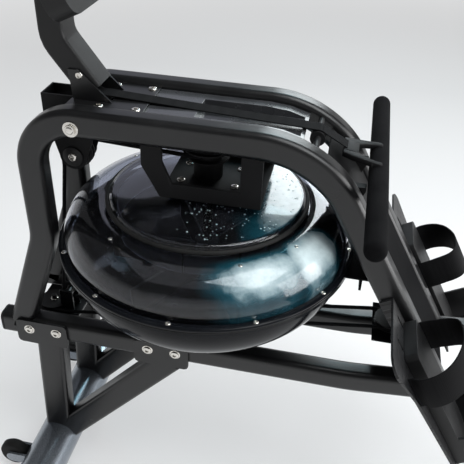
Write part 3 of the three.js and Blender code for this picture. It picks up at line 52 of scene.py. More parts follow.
UP, NEAR, FAR, DOWN = Vector((0, 0, 1)), Vector((0, -1, 0)), Vector((0, 1, 0)), Vector((0, 0, -1))
SIDES = (("left", -1), ("right", 1))


def at(x_mm, y_mm, z_mm):
    """A point of the CAD's own numbers, in metres in the shared frame."""
    return Vector((PLUMB_X + x_mm / 1000, y_mm / 1000, z_mm / 1000))


def on_circle(radius, degrees):
    """X and Y of a point on a circle about the origin."""
    return radius * math.cos(math.radians(degrees)), radius * math.sin(math.radians(degrees))


# ---- Materials


class Value:
    """A shader socket on which arithmetic makes Math nodes."""

    def __init__(self, net, socket):
        self.net = net
        self.socket = socket

    def _math(self, operation, other, swapped=False):
        pair = (other, self) if swapped else (self, other)
        return self.net.node("Math", {"operation": operation}, {0: pair[0], 1: pair[1]})

    def __add__(self, other):
        return self._math("ADD", other)

    def __mul__(self, other):
        return self._math("MULTIPLY", other)

    def __sub__(self, other):
        return self._math("SUBTRACT", other)

    def __rsub__(self, other):
        return self._math("SUBTRACT", other, swapped=True)

    def __pow__(self, other):
        return self._math("POWER", other)


class Net:
    """The node tree of one material, with its Principled shader."""

    def __init__(self, name):
        self.material = bpy.data.materials.new(name)
        self.material.use_nodes = True
        self.tree = self.material.node_tree
        self.shader = self.tree.nodes["Principled BSDF"]
        self.output = self.tree.nodes["Material Output"]

    def node(self, kind, settings=None, inputs=None, output=0):
        made = self.tree.nodes.new("ShaderNode" + kind)
        for key, value in (settings or {}).items():
            setattr(made, key, value)
        for key, value in (inputs or {}).items():
            self.feed(made.inputs[key], value)
        return Value(self, made.outputs[output])

    def feed(self, socket, value):
        if isinstance(value, Value):
            self.tree.links.new(value.socket, socket)
        elif isinstance(value, (tuple, list)) and len(value) == 3 and socket.type == "RGBA":
            socket.default_value = (*value, 1)
        else:
            socket.default_value = value

    def coords(self):
        return self.node("TexCoord", output="Object")

    def place(self, scale=(1, 1, 1), turn=(0, 0, 0)):
        """Object coordinates, turned and scaled for a pattern."""
        return self.node("Mapping", {"vector_type": "POINT"}, {
            "Vector": self.coords(), "Rotation": turn, "Scale": scale,
        })

    def part(self, vector, axis):
        return self.node("SeparateXYZ", {}, {0: vector}, axis)

    def unsigned(self, value):
        return self.node("Math", {"operation": "ABSOLUTE"}, {0: value})

    def noise(self, scale, detail=3.0, vector=None, roughness=0.5):
        return self.node("TexNoise", {}, {
            "Vector": vector or self.place(), "Scale": scale, "Detail": detail, "Roughness": roughness,
        }, "Fac")

    def ramp(self, value, low, high, from_low=0.0, from_high=1.0):
        return self.node("MapRange", {"clamp": True}, {
            "Value": value, "From Min": from_low, "From Max": from_high, "To Min": low, "To Max": high,
        })

    def mix(self, factor, first, second):
        return self.node("Mix", {"data_type": "RGBA"}, {"Factor": factor, 6: first, 7: second}, 2)

    def bump(self, height, strength, distance):
        normal = self.node("Bump", {}, {"Height": height, "Strength": strength, "Distance": distance})
        self.feed(self.shader.inputs["Normal"], normal)

    def overlay(self, factor, over):
        """Puts a second shader over the Principled one."""
        both = self.node("MixShader", {}, {0: factor, 1: Value(self, self.shader.outputs[0]), 2: over})
        self.feed(self.output.inputs["Surface"], both)

    def set(self, **values):
        for key, value in values.items():
            self.feed(self.shader.inputs[key.replace("_", " ")], value)


# Where a noise changes over from one shade or gloss to the other
CLOUD = (0.35, 0.7)
STREAK = (0.3, 0.7)


def powder_coat():
    net = Net("satin_powder_coat")
    grain = net.noise(900, 2.0)
    cloud = net.noise(14)
    shade = net.ramp(cloud, 0, 1, *CLOUD)
    net.set(Base_Color=net.mix(shade, (0.0045, 0.0045, 0.005), (0.009, 0.009, 0.0095)),
            Roughness=net.ramp(cloud, 0.27, 0.38, *STREAK), Specular_IOR_Level=0.5)
    net.bump(grain, 0.12, 0.0004)
    return net.material


def plain_finish(name, dark, light, gloss, grain, coat=0.0, shine=0.5):
    """A painted or moulded finish: two close shades in soft clouds, and a fine grain in the surface.
    The grain is its noise scale, strength and height."""
    scale, strength, height = grain
    net = Net(name)
    cloud = net.noise(22)
    net.set(Base_Color=net.mix(net.ramp(cloud, 0, 1, *CLOUD), dark, light),
            Roughness=net.ramp(cloud, gloss - 0.05, gloss + 0.06, *STREAK),
            Coat_Weight=coat, Specular_IOR_Level=shine)
    net.bump(net.noise(scale, 2.0), strength, height)
    return net.material


def brushed_steel():
    net = Net("bright_steel")
    streaks = net.noise(60, 4.0, net.place(scale=(1, 14, 14)))
    net.set(Base_Color=net.mix(net.ramp(streaks, 0, 1, *STREAK), (0.62, 0.59, 0.54), (0.8, 0.78, 0.74)),
            Roughness=net.ramp(streaks, 0.14, 0.3, *STREAK), Metallic=1.0)
    net.bump(streaks, 0.05, 0.0002)
    return net.material


def smoked_plastic(name, colour, coat, roughness=0.025):
    """Clear plastic, smoked, so it shows the dark inside and bright reflections."""
    net = Net(name)
    cloud = net.noise(5, 2.0)
    net.set(Base_Color=net.mix(cloud, colour, tuple(min(1, c * 1.08) for c in colour)),
            Roughness=roughness, IOR=1.47, Transmission_Weight=0.995, Coat_Weight=coat, Coat_Roughness=0.07)
    return net


def dome_painted_highlights(colour):
    """The smoked dome, with painted highlight and reflection on its rear part: a pale teal to white layer
    over the clear plastic, thicker in two lobes.
    """
    net = smoked_plastic("smoked_clear_plastic", colour, 0.2)
    net.set(IOR=1.36)
    centre = tuple(at(TANK_X, 0, 0))
    away = net.node("VectorMath", {"operation": "SUBTRACT"}, {0: net.coords(), 1: centre}, "Vector")
    along, across = net.part(away, "X"), net.part(away, "Y")
    reach = (along * along + across * across) ** 0.5
    turn = net.node("Math", {"operation": "ARCTAN2"}, {0: across, 1: along}) * math.degrees(1)
    on_top = net.ramp(along + across * 0.25, 0, 0.8, 0.02, 0.135) * net.ramp(reach, 1, 0, 0.155, 0.162)
    # each lobe's middle, the half turns of its core and its rim in degrees, and its thickness
    lobes = []
    for middle, core, rim, peak in ((-28, 7, 17, 1.1), (-54, 9, 30, 0.78)):
        lobes.append(net.ramp(net.unsigned(turn - middle), peak, 0, core, rim))
    shoulder = net.node("Math", {"operation": "MAXIMUM"}, {0: lobes[0], 1: lobes[1]})
    shoulder = shoulder * net.ramp(reach, 0, 1, 0.166, 0.205) * net.ramp(reach, 1, 0.45, 0.226, 0.24)
    # painted highlight: pale teal to white where the lamps' reflections stand on the dome, broken up by noise
    painted_highlight = on_top + shoulder + (net.noise(26, 6.0, roughness=0.66) - 0.5) * 0.8
    painted_highlight = painted_highlight * net.ramp(on_top + shoulder, 0, 1, 0.0, 0.5)
    highlight_layer = net.node("BsdfPrincipled", {}, {
        "Base Color": net.mix(net.ramp(painted_highlight, 0, 1, 0.35, 1.15), (0.008, 0.085, 0.12), (0.76, 0.9, 0.93)),
        "Roughness": 0.2, "Coat Weight": 0.6, "Coat Roughness": 0.03,
    })
    net.overlay(net.ramp(painted_highlight, 0, 0.86, 0.02, 0.6), highlight_layer)
    return net.material


def dimpled_plate():
    """Powder coat over rows of round dimples, in the plane of the sloping footrests; the dimples are painted
    near black, painted shade in their hollows.
    """
    net = Net("dimpled_plate_coat")
    flat = net.place(turn=(0, -SLOPE, 0))
    cells = net.node("TexVoronoi", {"voronoi_dimensions": "2D"},
                     {"Vector": flat, "Scale": 62.0, "Randomness": 0.0}, "Distance")
    dimple_and_shade = net.ramp(cells, 1, 0, 0.16, 0.24)
    cloud = net.ramp(net.noise(14), 0, 1, *CLOUD)
    coat = net.mix(cloud, (0.0085, 0.0085, 0.0095), (0.015, 0.015, 0.016))
    net.set(Base_Color=net.mix(dimple_and_shade, coat, (0.002, 0.002, 0.002)), Roughness=net.ramp(cloud, 0.38, 0.48),
            Specular_IOR_Level=0.4)
    net.bump(1 - dimple_and_shade, 0.6, 0.0012)
    return net.material


def silver_coat():
    """Metallic paint of the foot tubes."""
    net = Net("silver_foot_coat")
    flakes = net.noise(1500, 2.0)
    cloud = net.noise(9)
    net.set(Base_Color=net.mix(net.ramp(cloud, 0, 1, *STREAK), (0.2, 0.23, 0.27), (0.3, 0.33, 0.37)),
            Metallic=0.85, Roughness=net.ramp(flakes, 0.2, 0.32, *STREAK), Coat_Weight=0.4)
    net.bump(flakes, 0.03, 0.0002)
    return net.material


def woven(name, dark, light, across):
    """Webbing: fine crossing threads."""
    net = Net(name)
    place = net.place()
    warp, weft = [net.node("TexWave", {"wave_type": "BANDS", "bands_direction": axis},
                           {"Vector": place, "Scale": across, "Distortion": 0.4, "Detail": 1.0}, "Fac")
                  for axis in "YZ"]
    thread = warp * 0.5 + weft * 0.5
    net.set(Base_Color=net.mix(thread, dark, light), Roughness=0.8, Specular_IOR_Level=0.12)
    net.bump(thread, 0.35, 0.0004)
    return net.material


def foam_finish():
    net = Net("grip_foam")
    cells = net.node("TexVoronoi", {}, {"Vector": net.place(), "Scale": 900.0}, "Distance")
    shade = net.ramp(net.noise(30), 0, 1, *STREAK)
    net.set(Base_Color=net.mix(shade, (0.0035, 0.0035, 0.004), (0.0065, 0.0065, 0.007)),
            Roughness=0.9, Specular_IOR_Level=0.06)
    net.bump(cells, 0.3, 0.0005)
    return net.material


def stitched_skin():
    """Seat cover: fine leather grain, a stitched seam round the sides and one along the middle."""
    seam_height, stitch_aside = 0.489, 0.0042
    net = Net("cushion_skin")
    coords = net.coords()
    nearest = net.node("Math", {"operation": "MINIMUM"}, {
        0: net.unsigned(net.part(coords, "Z") - seam_height), 1: net.unsigned(net.part(coords, "Y")),
    })
    seam = net.ramp(nearest, 1, 0, 0.0007, 0.0017)
    dashes = net.node("TexWave", {"wave_type": "BANDS", "bands_direction": "DIAGONAL"},
                      {"Vector": net.place(), "Scale": 70.0, "Distortion": 0.0}, "Fac")
    beside = net.ramp(net.unsigned(nearest - stitch_aside), 1, 0, 0.0003, 0.0009)
    thread = beside * net.ramp(dashes, 0, 1, 0.35, 0.55)
    grain = net.node("TexVoronoi", {}, {"Vector": coords, "Scale": 420.0}, "Distance")
    cloud = net.ramp(net.noise(22), 0, 1, *CLOUD)
    leather = net.mix(cloud, (0.009, 0.009, 0.0095), (0.016, 0.016, 0.017))
    leather = net.mix(seam, leather, (0.002, 0.002, 0.002))
    net.set(Base_Color=net.mix(thread, leather, (0.07, 0.07, 0.075)), Roughness=net.ramp(cloud, 0.42, 0.54),
            Specular_IOR_Level=0.45)
    net.bump(grain * 0.25 + thread * 0.8 - seam, 0.6, 0.0009)
    return net.material


frame_coat = powder_coat()
dimpled = dimpled_plate()
foot_silver = silver_coat()
sheet_coat = plain_finish("grey_sheet_coat", (0.03, 0.031, 0.034), (0.045, 0.047, 0.051), 0.24,
                          (700, 0.08, 0.0003), coat=0.2, shine=0.7)
matt_black = plain_finish("matt_black_paint", (0.0035, 0.0035, 0.004), (0.007, 0.007, 0.0075), 0.58,
                          (900, 0.2, 0.0003), shine=0.2)
panel_black = plain_finish("rough_black_paint", (0.0025, 0.0025, 0.003), (0.005, 0.005, 0.0055), 0.8,
                           (900, 0.3, 0.0004), shine=0.06)
gloss_shell = plain_finish("gloss_black_shell", (0.004, 0.0045, 0.006), (0.007, 0.008, 0.01), 0.12,
                           (300, 0.02, 0.0002), shine=0.14)
moulded_black = plain_finish("moulded_black_plastic", (0.006, 0.006, 0.0065), (0.011, 0.011, 0.0115), 0.5,
                             (1400, 0.3, 0.0003), shine=0.35)
black_rubber = plain_finish("black_rubber", (0.006, 0.006, 0.006), (0.012, 0.012, 0.012), 0.7,
                            (900, 0.35, 0.0004), shine=0.3)
# pale opaque beads: painted highlight in place of the clear water's reflections
beads_painted_highlight = plain_finish("water_beads", (0.4, 0.55, 0.6), (0.6, 0.74, 0.78), 0.1, (300, 0.02, 0.0002), coat=1.0)
screen_glass = plain_finish("screen_glass", (0.09, 0.11, 0.1), (0.1, 0.12, 0.11), 0.12,
                            (50, 0.0, 0.0001), coat=0.5)
steel = brushed_steel()
dome_clear = dome_painted_highlights((0.5, 0.52, 0.58))
baffle_clear = smoked_plastic("frosted_clear_plastic", (0.7, 0.72, 0.8), 0.3, 0.3).material
black_webbing = woven("black_webbing", (0.0025, 0.0025, 0.003), (0.006, 0.006, 0.0065), 260.0)
braided_cord = woven("braided_cord", (0.003, 0.003, 0.0035), (0.011, 0.011, 0.012), 420.0)
grip_foam = foam_finish()
cushion_skin = stitched_skin()


# ---- Ways of making


# Points closer than this are one point, in metres
SAME = 0.00001


def deselect():
    for other in bpy.context.selected_objects:
        other.select_set(False)


def pick(piece):
    deselect()
    piece.select_set(True)
    bpy.context.view_layer.objects.active = piece


def edit(piece):
    pick(piece)
    bpy.ops.object.mode_set(mode="EDIT")


def leave():
    bpy.ops.object.mode_set(mode="OBJECT")


def weld(distance=SAME):
    bpy.ops.mesh.select_all(action="SELECT")
    bpy.ops.mesh.remove_doubles(threshold=distance)


def settle(piece):
    """Puts the piece's place, turn and size into its mesh."""
    pick(piece)
    bpy.ops.object.transform_apply(location=True, rotation=True, scale=True)
    return piece


def modify(piece, kind, **settings):
    """Adds a modifier with its settings and applies it."""
    pick(piece)
    made = piece.modifiers.new(kind.lower(), kind)
    for key, value in settings.items():
        setattr(made, key, value)
    bpy.ops.object.modifier_apply(modifier=made.name)
    return piece


def soften(piece, width, limit=50, segments=2):
    """Rounds the edges that are sharper than the limit."""
    return modify(piece, "BEVEL", width=width, segments=segments, limit_method="ANGLE",
                  angle_limit=math.radians(limit), use_clamp_overlap=True)


def finish_piece(piece, name, material, body="frame", stands_for=(), smooth=45, weighted=False):
    """Names a made piece and gives it its material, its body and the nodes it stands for."""
    settle(piece)
    bpy.ops.object.shade_smooth_by_angle(angle=math.radians(smooth))
    if weighted:
        modify(piece, "WEIGHTED_NORMAL", keep_sharp=True)
    piece.name = name
    piece.data.name = name
    piece.data.materials.clear()
    piece.data.materials.append(material)
    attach(piece, body)
    if stands_for:
        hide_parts(*stands_for)
    return piece


def joined(pieces):
    """Several pieces as one."""
    deselect()
    for piece in pieces:
        piece.select_set(True)
    bpy.context.view_layer.objects.active = pieces[0]
    bpy.ops.object.join()
    return bpy.context.object


def bent_tube(corners, wide, deep, corner, y, turn_step=2.5):
    """A tube of rounded section along a line of corners in the X-Z plane."""
    places = [Vector((x, z)) for x, z, _ in corners]
    heading = (places[1] - places[0]).normalized()
    deselect()
    bpy.ops.mesh.primitive_plane_add(size=1, location=at(places[0].x, y, places[0].y))
    tube = bpy.context.object
    tube.scale = (deep / 1000, wide / 1000, 1)
    tube.rotation_euler = (0, math.pi / 2 - math.atan2(heading.y, heading.x), 0)
    settle(tube)
    edit(tube)
    bpy.ops.mesh.select_all(action="SELECT")
    bpy.ops.mesh.bevel(offset=corner / 1000, segments=6, affect="VERTICES")
    here = places[0].copy()
    for index in range(1, len(corners)):
        target = places[index]
        radius = corners[index][2]
        if index < len(corners) - 1 and radius:
            out = (places[index + 1] - target).normalized()
            turn = math.atan2(heading.x * out.y - heading.y * out.x, heading.dot(out))
            start = target - heading * radius * math.tan(abs(turn) / 2)
        else:
            out, turn, start = heading, 0.0, target
        step = start - here
        bpy.ops.mesh.extrude_region_move(TRANSFORM_OT_translate={"value": (step.x / 1000, 0, step.y / 1000)})
        here = start
        if turn:
            side = Vector((-heading.y, heading.x)) * math.copysign(radius, turn)
            centre = start + side
            steps = max(4, math.ceil(abs(math.degrees(turn)) / turn_step))
            bpy.ops.mesh.spin(steps=steps, angle=turn, center=at(centre.x, y, centre.y), axis=(0, 1, 0))
            here = target + out * radius * math.tan(abs(turn) / 2)
        heading = out
    weld()
    leave()
    return tube


def drawn(points):
    """A new mesh in edit mode that holds one line through the points."""
    deselect()
    bpy.ops.mesh.primitive_plane_add(size=0.001, location=points[0])
    made = settle(bpy.context.object)
    edit(made)
    bpy.ops.mesh.select_all(action="SELECT")
    bpy.ops.mesh.merge(type="CENTER")
    here = points[0]
    for point in points[1:]:
        bpy.ops.mesh.extrude_vertices_move(TRANSFORM_OT_translate={"value": point - here})
        here = point
    return made


def turned(profile, x, y, steps=96):
    """A form turned about an upright axis from a run of radius and height points, closed on itself."""
    made = drawn([at(x + radius, y, height) for radius, height in profile])
    weld()
    bpy.ops.mesh.select_all(action="SELECT")
    bpy.ops.mesh.spin(steps=steps, angle=2 * math.pi, center=at(x, y, 0), axis=(0, 0, 1))
    weld()
    bpy.ops.mesh.normals_make_consistent(inside=False)
    leave()
    return made


def turned_across(profile, x, z, steps=48):
    """The same about an axis along Y: each point is radius and y."""
    made = turned(profile, 0, 0, steps)
    made.data.transform(Matrix.Translation(-at(0, 0, 0)))
    made.data.transform(Matrix.Rotation(-math.pi / 2, 4, "X"))
    made.data.transform(Matrix.Translation(at(x, 0, z)))
    return made


def smooth_run(points, steps=5):
    """More points on a smooth curve through a profile's points."""
    run = []
    for index in range(len(points) - 1):
        before = Vector(points[max(index - 1, 0)])
        first, second = Vector(points[index]), Vector(points[index + 1])
        after = Vector(points[min(index + 2, len(points) - 1)])
        for step in range(steps):
            t = step / steps
            run.append(tuple(0.5 * (2 * first + (second - before) * t
                                    + (2 * before - 5 * first + 4 * second - after) * t * t
                                    + (3 * first - before - 3 * second + after) * t ** 3)))
    run.append(tuple(points[-1]))
    return run


def offset_run(points, inward):
    """A profile moved sideways by a wall's thickness."""
    moved = []
    for index, point in enumerate(points):
        before = Vector(points[max(index - 1, 0)])
        after = Vector(points[min(index + 1, len(points) - 1)])
        along = (after - before).normalized()
        moved.append((point[0] - along.y * inward, point[1] + along.x * inward))
    return moved


def swept(section, points, sides):
    """A band or cord: a section of width and thickness points carried along a route."""
    vertices, faces = [], []
    last = len(points) - 1
    for index, point in enumerate(points):
        before, after = points[max(index - 1, 0)], points[min(index + 1, last)]
        into = (point - before).normalized() if before != point else (after - point).normalized()
        out = (after - point).normalized() if after != point else into
        along = (into + out).normalized()
        side = sides[index] if isinstance(sides, list) else sides
        side = (side - along * side.dot(along)).normalized()
        over = along.cross(side) / max(along.dot(out), 0.5)
        vertices += [point + side * u + over * v for u, v in section]
    count = len(section)
    for ring_start in range(0, last * count, count):
        low, high = ring_start, ring_start + count
        faces += [(low + k, low + (k + 1) % count, high + (k + 1) % count, high + k) for k in range(count)]
    faces += [tuple(reversed(range(count))), tuple(range(last * count, last * count + count))]
    mesh = bpy.data.meshes.new("band")
    mesh.from_pydata(vertices, [], faces)
    made = bpy.data.objects.new("band", mesh)
    bpy.context.scene.collection.objects.link(made)
    return made


def band_section(wide, thick, edge=0.0004):
    """A flat band's section in metres, from millimetres; its slightly rounded edge is given in metres."""
    w, t = wide / 2000, thick / 2000
    return [(-w, -t + edge), (-w + edge, -t), (w - edge, -t), (w, -t + edge),
            (w, t - edge), (w - edge, t), (-w + edge, t), (-w, t - edge)]


def round_section(radius, sides):
    """A round cord's section in metres, from its radius in millimetres."""
    return [tuple(c / 1000 for c in on_circle(radius, 360 * k / sides)) for k in range(sides)]


def plate(outline, depth):
    """A plate: an outline of points, filled and extruded by a vector."""
    made = drawn(outline)
    bpy.ops.mesh.select_all(action="SELECT")
    bpy.ops.mesh.edge_face_add()
    bpy.ops.mesh.extrude_region_move(TRANSFORM_OT_translate={"value": depth})
    bpy.ops.mesh.select_all(action="SELECT")
    bpy.ops.mesh.normals_make_consistent(inside=False)
    leave()
    return made


def refined(node, material, body, width, slot):
    """The CAD node's own shape with its edges eased by a width, standing for the node."""
    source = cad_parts[node]
    piece = bpy.data.objects.new(node + "_eased", source.data.copy())
    bpy.context.scene.collection.objects.link(piece)
    edit(piece)
    weld(2 * SAME)
    bpy.ops.mesh.dissolve_limited(angle_limit=math.radians(1))
    leave()
    soften(piece, width / 1000)
    return finish_piece(piece, node + "_eased", material, body, (node,), 48, True)


# ---- Frame, covers and moving parts

ARCH_Y, TUBE_WIDE, TUBE_DEEP, TUBE_CORNER = 74, 38, 44, 11
TOP_HEIGHT, POST_X, REAR_BEND_X = 785, -536, -85
RAIL_FRONT_X, RAIL_LOW, RAIL_HIGH = -640, 349, 378

# Corners of the tubes: x, height and bend radius
ARCH_LINE = [(-609.5, 346, 0), (POST_X, 559, 120), (POST_X, TOP_HEIGHT, 83), (REAR_BEND_X, TOP_HEIGHT, 166),
             (152, 374.5, 0)]
RAIL_LINE = [(RAIL_FRONT_X, RAIL_LOW, 0), (10, RAIL_LOW, 500), (310, RAIL_HIGH, 500), (1424.7, RAIL_HIGH, 0)]
# What is seen of each CAD shape with its edges eased: node, material, body, easing in millimetres, slot
EASED = [
    ("front_crossbar", foot_silver, "frame", 0.8, "frame_paint"),
    ("rear_crossbar", foot_silver, "frame", 0.8, "frame_paint"),
    ("rail_tie", frame_coat, "frame", 0.8, "frame_paint"),
    ("front_tie", frame_coat, "frame", 0.8, "frame_paint"),
    ("hanger_base", matt_black, "frame", 0.8, "frame_paint"),
    ("console_base", frame_coat, "frame", 0.8, "frame_paint"),
    ("seat_base", frame_coat, "seat", 0.8, "frame_paint"),
    ("top_cover", sheet_coat, "frame", 0.5, "grey_sheet"),
    ("rear_panel", matt_black, "frame", 0.5, "moulded_black"),
    ("slope_panel", panel_black, "frame", 0.5, "moulded_black"),
    ("pulley_guard", matt_black, "frame", 0.5, "moulded_black"),
    ("rail_end_cover", moulded_black, "frame", 3, "moulded_black"),
    ("console_arm", moulded_black, "frame", 1.5, "moulded_black"),
    ("console_housing", moulded_black, "console", 3, "moulded_black"),
    ("console_screen", screen_glass, "console", 0.4, "screen_glass"),
    ("console_button_1", moulded_black, "button_1", 1, "moulded_black"),
    ("console_button_2", moulded_black, "button_2", 1, "moulded_black"),
    ("paddle", moulded_black, "paddle", 1, "moulded_black"),
    ("paddle_shaft", steel, "paddle", 0.5, "bright_steel"),
    ("pull_drum", matt_black, "drum", 0.6, "moulded_black"),
    ("front_pulley", moulded_black, "belt_pulley", 0.5, "moulded_black"),
    ("upper_cord_pulley", moulded_black, "upper_pulley", 0.4, "moulded_black"),
    ("lower_cord_pulley", moulded_black, "lower_pulley", 0.4, "moulded_black"),
    ("rear_cord_pulley", moulded_black, "rear_pulley", 0.4, "moulded_black"),
    ("guide_roller", moulded_black, "roller", 0.6, "moulded_black"),
    ("seat_axle_front", moulded_black, "axle_front", 0.8, "moulded_black"),
    ("seat_axle_rear", moulded_black, "axle_rear", 0.8, "moulded_black"),
]
for word, side in SIDES:
    for node, line, turn_step in (("arch", ARCH_LINE, 2.5), ("rail", RAIL_LINE, 1)):
        finish_piece(bent_tube(line, TUBE_WIDE, TUBE_DEEP, TUBE_CORNER, side * ARCH_Y, turn_step),
                     f"{node}_tube_{word}", frame_coat, "frame", (f"{node}_{word}",), 60, True)
    for node in ("front_leg_", "brace_leg_", "rear_leg_"):
        refined(node + word, frame_coat, "frame", 0.9, "frame_paint")
    refined("hanger_" + word, matt_black, "frame", 1.2, "frame_paint")
    refined("footplate_" + word, dimpled, "frame", 0.8, "frame_paint")
    refined("heel_cup_" + word, moulded_black, "heel_" + word, 1.6, "moulded_black")
    refined("front_foot_" + word, black_rubber, "frame", 2.5, "foot_rubber")
    refined("rear_foot_" + word, black_rubber, "frame", 2.5, "foot_rubber")
    refined("transport_wheel_" + word, black_rubber, "wheel_" + word, 1, "foot_rubber")
for row in EASED:
    refined(*row)

# ---- Tank

DOME_WALL, BOWL_WALL = 3.6, 4
TANK_STEPS = 128
FLANGE_BOTTOM, FLANGE_TOP, FLANGE_SCREWS_RADIUS, SHOULDER_SCREWS_RADIUS = 555.7, 568.6, 245, 193

# Profiles as radius and height
dome_shoulder = smooth_run([(240, 568.5), (241.7, 586), (236.5, 603), (226, 619), (208, 631), (187, 636.5),
                            (170, 635)], 4)
dome_hat = smooth_run([(164.5, 636), (164, 645), (160, 650.5), (150, 652), (98, 656), (30, 659)], 3)
dome_outer = [(240, 562)] + dome_shoulder + dome_hat
dome_profile = dome_outer + list(reversed(offset_run(dome_outer, DOME_WALL))) + [dome_outer[0]]
finish_piece(turned(dome_profile, TANK_X, 0, TANK_STEPS), "tank_dome_shell", dome_clear,
             "frame", ("tank_dome",), 60)
bowl_outer = smooth_run([(0, 442.5), (100, 447), (166, 459), (206, 478), (228, 503), (238, 529),
                         (240, 554)], 4)
bowl_inner = [(max(r, 0), z) for r, z in offset_run(bowl_outer, BOWL_WALL)]
bowl_inner[0] = (0, bowl_inner[0][1])
bowl_profile = bowl_outer + [(252, 555.6), (252, 561.2), (236, 561.2)] + list(reversed(bowl_inner))
finish_piece(turned(bowl_profile, TANK_X, 0, TANK_STEPS), "tank_bowl_shell", gloss_shell,
             "frame", ("tank_bowl",), 60)


def ring(name, radius, height, wide, tall, material, edge):
    """A ring round the tank, of a rectangular section with cut corners."""
    w, t = wide / 2, tall / 2
    run = [(radius - w, height - t + edge), (radius - w + edge, height - t), (radius + w - edge, height - t),
           (radius + w, height - t + edge), (radius + w, height + t - edge), (radius + w - edge, height + t),
           (radius - w + edge, height + t), (radius - w, height + t - edge)]
    return finish_piece(turned(run + run[:1], TANK_X, 0, TANK_STEPS), name, material, smooth=50)


ring("tank_flange_ring", 246.4, 565.4, 12.6, 6.6, gloss_shell, 1.6)
ring("tank_gasket", 246.6, 561.4, 11.8, 1.6, black_rubber, 0.6)
ring("hat_seal", 166.2, 641.5, 7.6, 8.4, black_rubber, 2.6)

# Clear baffle inside the dome, and its seams
baffle = [(151, 634), (148.8, 634), (148.8, 589), (151, 589), (151, 634)]
finish_piece(turned(baffle, TANK_X, 0), "tank_baffle", baffle_clear, smooth=50)
SEAM_RADIUS, SEAM_BOTTOM = 151.5, 590
SEAM_HALF, SEAM_TALL, SEAM_THICK = 0.0011, 0.043, 0.0016
seams = []
for turn in (-91, -58, -38, 60, 90, 120, 180):
    out = Vector((*on_circle(1, turn), 0))
    across = UP.cross(out)
    foot = at(TANK_X, 0, SEAM_BOTTOM) + out * SEAM_RADIUS / 1000
    low = [foot - across * SEAM_HALF, foot + across * SEAM_HALF]
    seams.append(plate(low + [point + UP * SEAM_TALL for point in reversed(low)], out * SEAM_THICK))
finish_piece(joined(seams), "baffle_seams", black_rubber, smooth=40)


def bolt_head(radius, tall, socket=0.5):
    """A button head with a hexagon socket, standing on the X-Y plane at the origin."""
    deselect()
    bpy.ops.mesh.primitive_cylinder_add(vertices=32, radius=radius, depth=tall, location=(0, 0, tall / 2))
    head = bpy.context.object
    soften(head, tall * 0.42, segments=3)
    deselect()
    bpy.ops.mesh.primitive_cylinder_add(vertices=6, radius=radius * socket, depth=tall,
                                        location=(0, 0, tall * 1.1))
    hollow = bpy.context.object
    modify(head, "BOOLEAN", operation="DIFFERENCE", object=hollow, solver="EXACT")
    bpy.data.objects.remove(hollow)
    return head


def scattered(master, spots):
    """Copies of a small piece at places, each turned so that its +Z follows a direction, joined in one."""
    copies = []
    for place, direction in spots:
        copy = bpy.data.objects.new("copy", master.data.copy())
        bpy.context.scene.collection.objects.link(copy)
        turn = direction.to_track_quat("Z", "Y").to_matrix().to_4x4()
        copy.data.transform(Matrix.Translation(place) @ turn)
        copies.append(copy)
    bpy.data.objects.remove(master)
    return joined(copies)


def heads(name, radius, tall, spots, socket=0.5):
    """Bolt heads of one size at places, as one bright steel piece. Radius and height are in metres."""
    finish_piece(scattered(bolt_head(radius, tall, socket), spots), name, steel)


def around_tank(radius, turns, height, facing):
    return [(at(TANK_X + x, y, height), facing) for x, y in (on_circle(radius, turn) for turn in turns)]


def on_sides(aside, places):
    """Places on both outer sides, facing outward; each is x and height."""
    return [(at(x, side * aside, z), NEAR if side < 0 else FAR) for _, side in SIDES for x, z in places]


LEG_FACE, LEG_WASHER = 98.3, 1.5
LEG_BOLTS = [(-586, 351), (-533, 351), (-355, 352), (-303, 352), (1326, 380), (1380, 380)]
GUARD_X, GUARD_Z = -492, 692
FLANGE_TURNS = range(0, 360, 30)

heads("flange_screws", 0.0042, 0.0036, around_tank(FLANGE_SCREWS_RADIUS, FLANGE_TURNS, FLANGE_TOP, UP))
heads("flange_nuts", 0.0044, 0.005, around_tank(FLANGE_SCREWS_RADIUS, FLANGE_TURNS, FLANGE_BOTTOM, DOWN), 0.3)
heads("leg_bolts", 0.0078, 0.0045, on_sides(LEG_FACE + LEG_WASHER, LEG_BOLTS))
heads("leg_washers", 0.0102, 0.0016, on_sides(LEG_FACE, LEG_BOLTS), 0.2)
heads("bearing_plate_bolts", 0.007, 0.0045, [(at(x, y, 679), UP) for x in (-306, -218) for y in (-29, 29)])
heads("console_plate_bolts", 0.0072, 0.0048, [(at(x, y, 798.2), UP) for y in (-43, 43) for x in (-431, -372)])
heads("gusset_bolts", 0.0058, 0.004, on_sides(29.1, [(-464, 837.5)]))
heads("guard_pin_heads", 0.0072, 0.0045, on_sides(25.6, [(GUARD_X, GUARD_Z)]))
heads("pulley_bolts", 0.0075, 0.0042, [(at(-580, 0, 347), UP), (at(69, 0, 436), UP)])
cheek = [(0, 0), (16.5, 0), (17.5, 0.8), (17.5, 2.2), (16.5, 3), (0, 3)]
for word, side in SIDES:
    rim = turned_across([(r, side * (22.7 + y)) for r, y in cheek], GUARD_X, GUARD_Z)
    finish_piece(rim, "guard_boss_" + word, moulded_black, smooth=40)
heads("shoulder_screws", 0.0032, 0.0026,
      around_tank(SHOULDER_SCREWS_RADIUS, (327.2, 297.4, 233.3, 147.2, 117.4, 53.3), 635.1, UP))

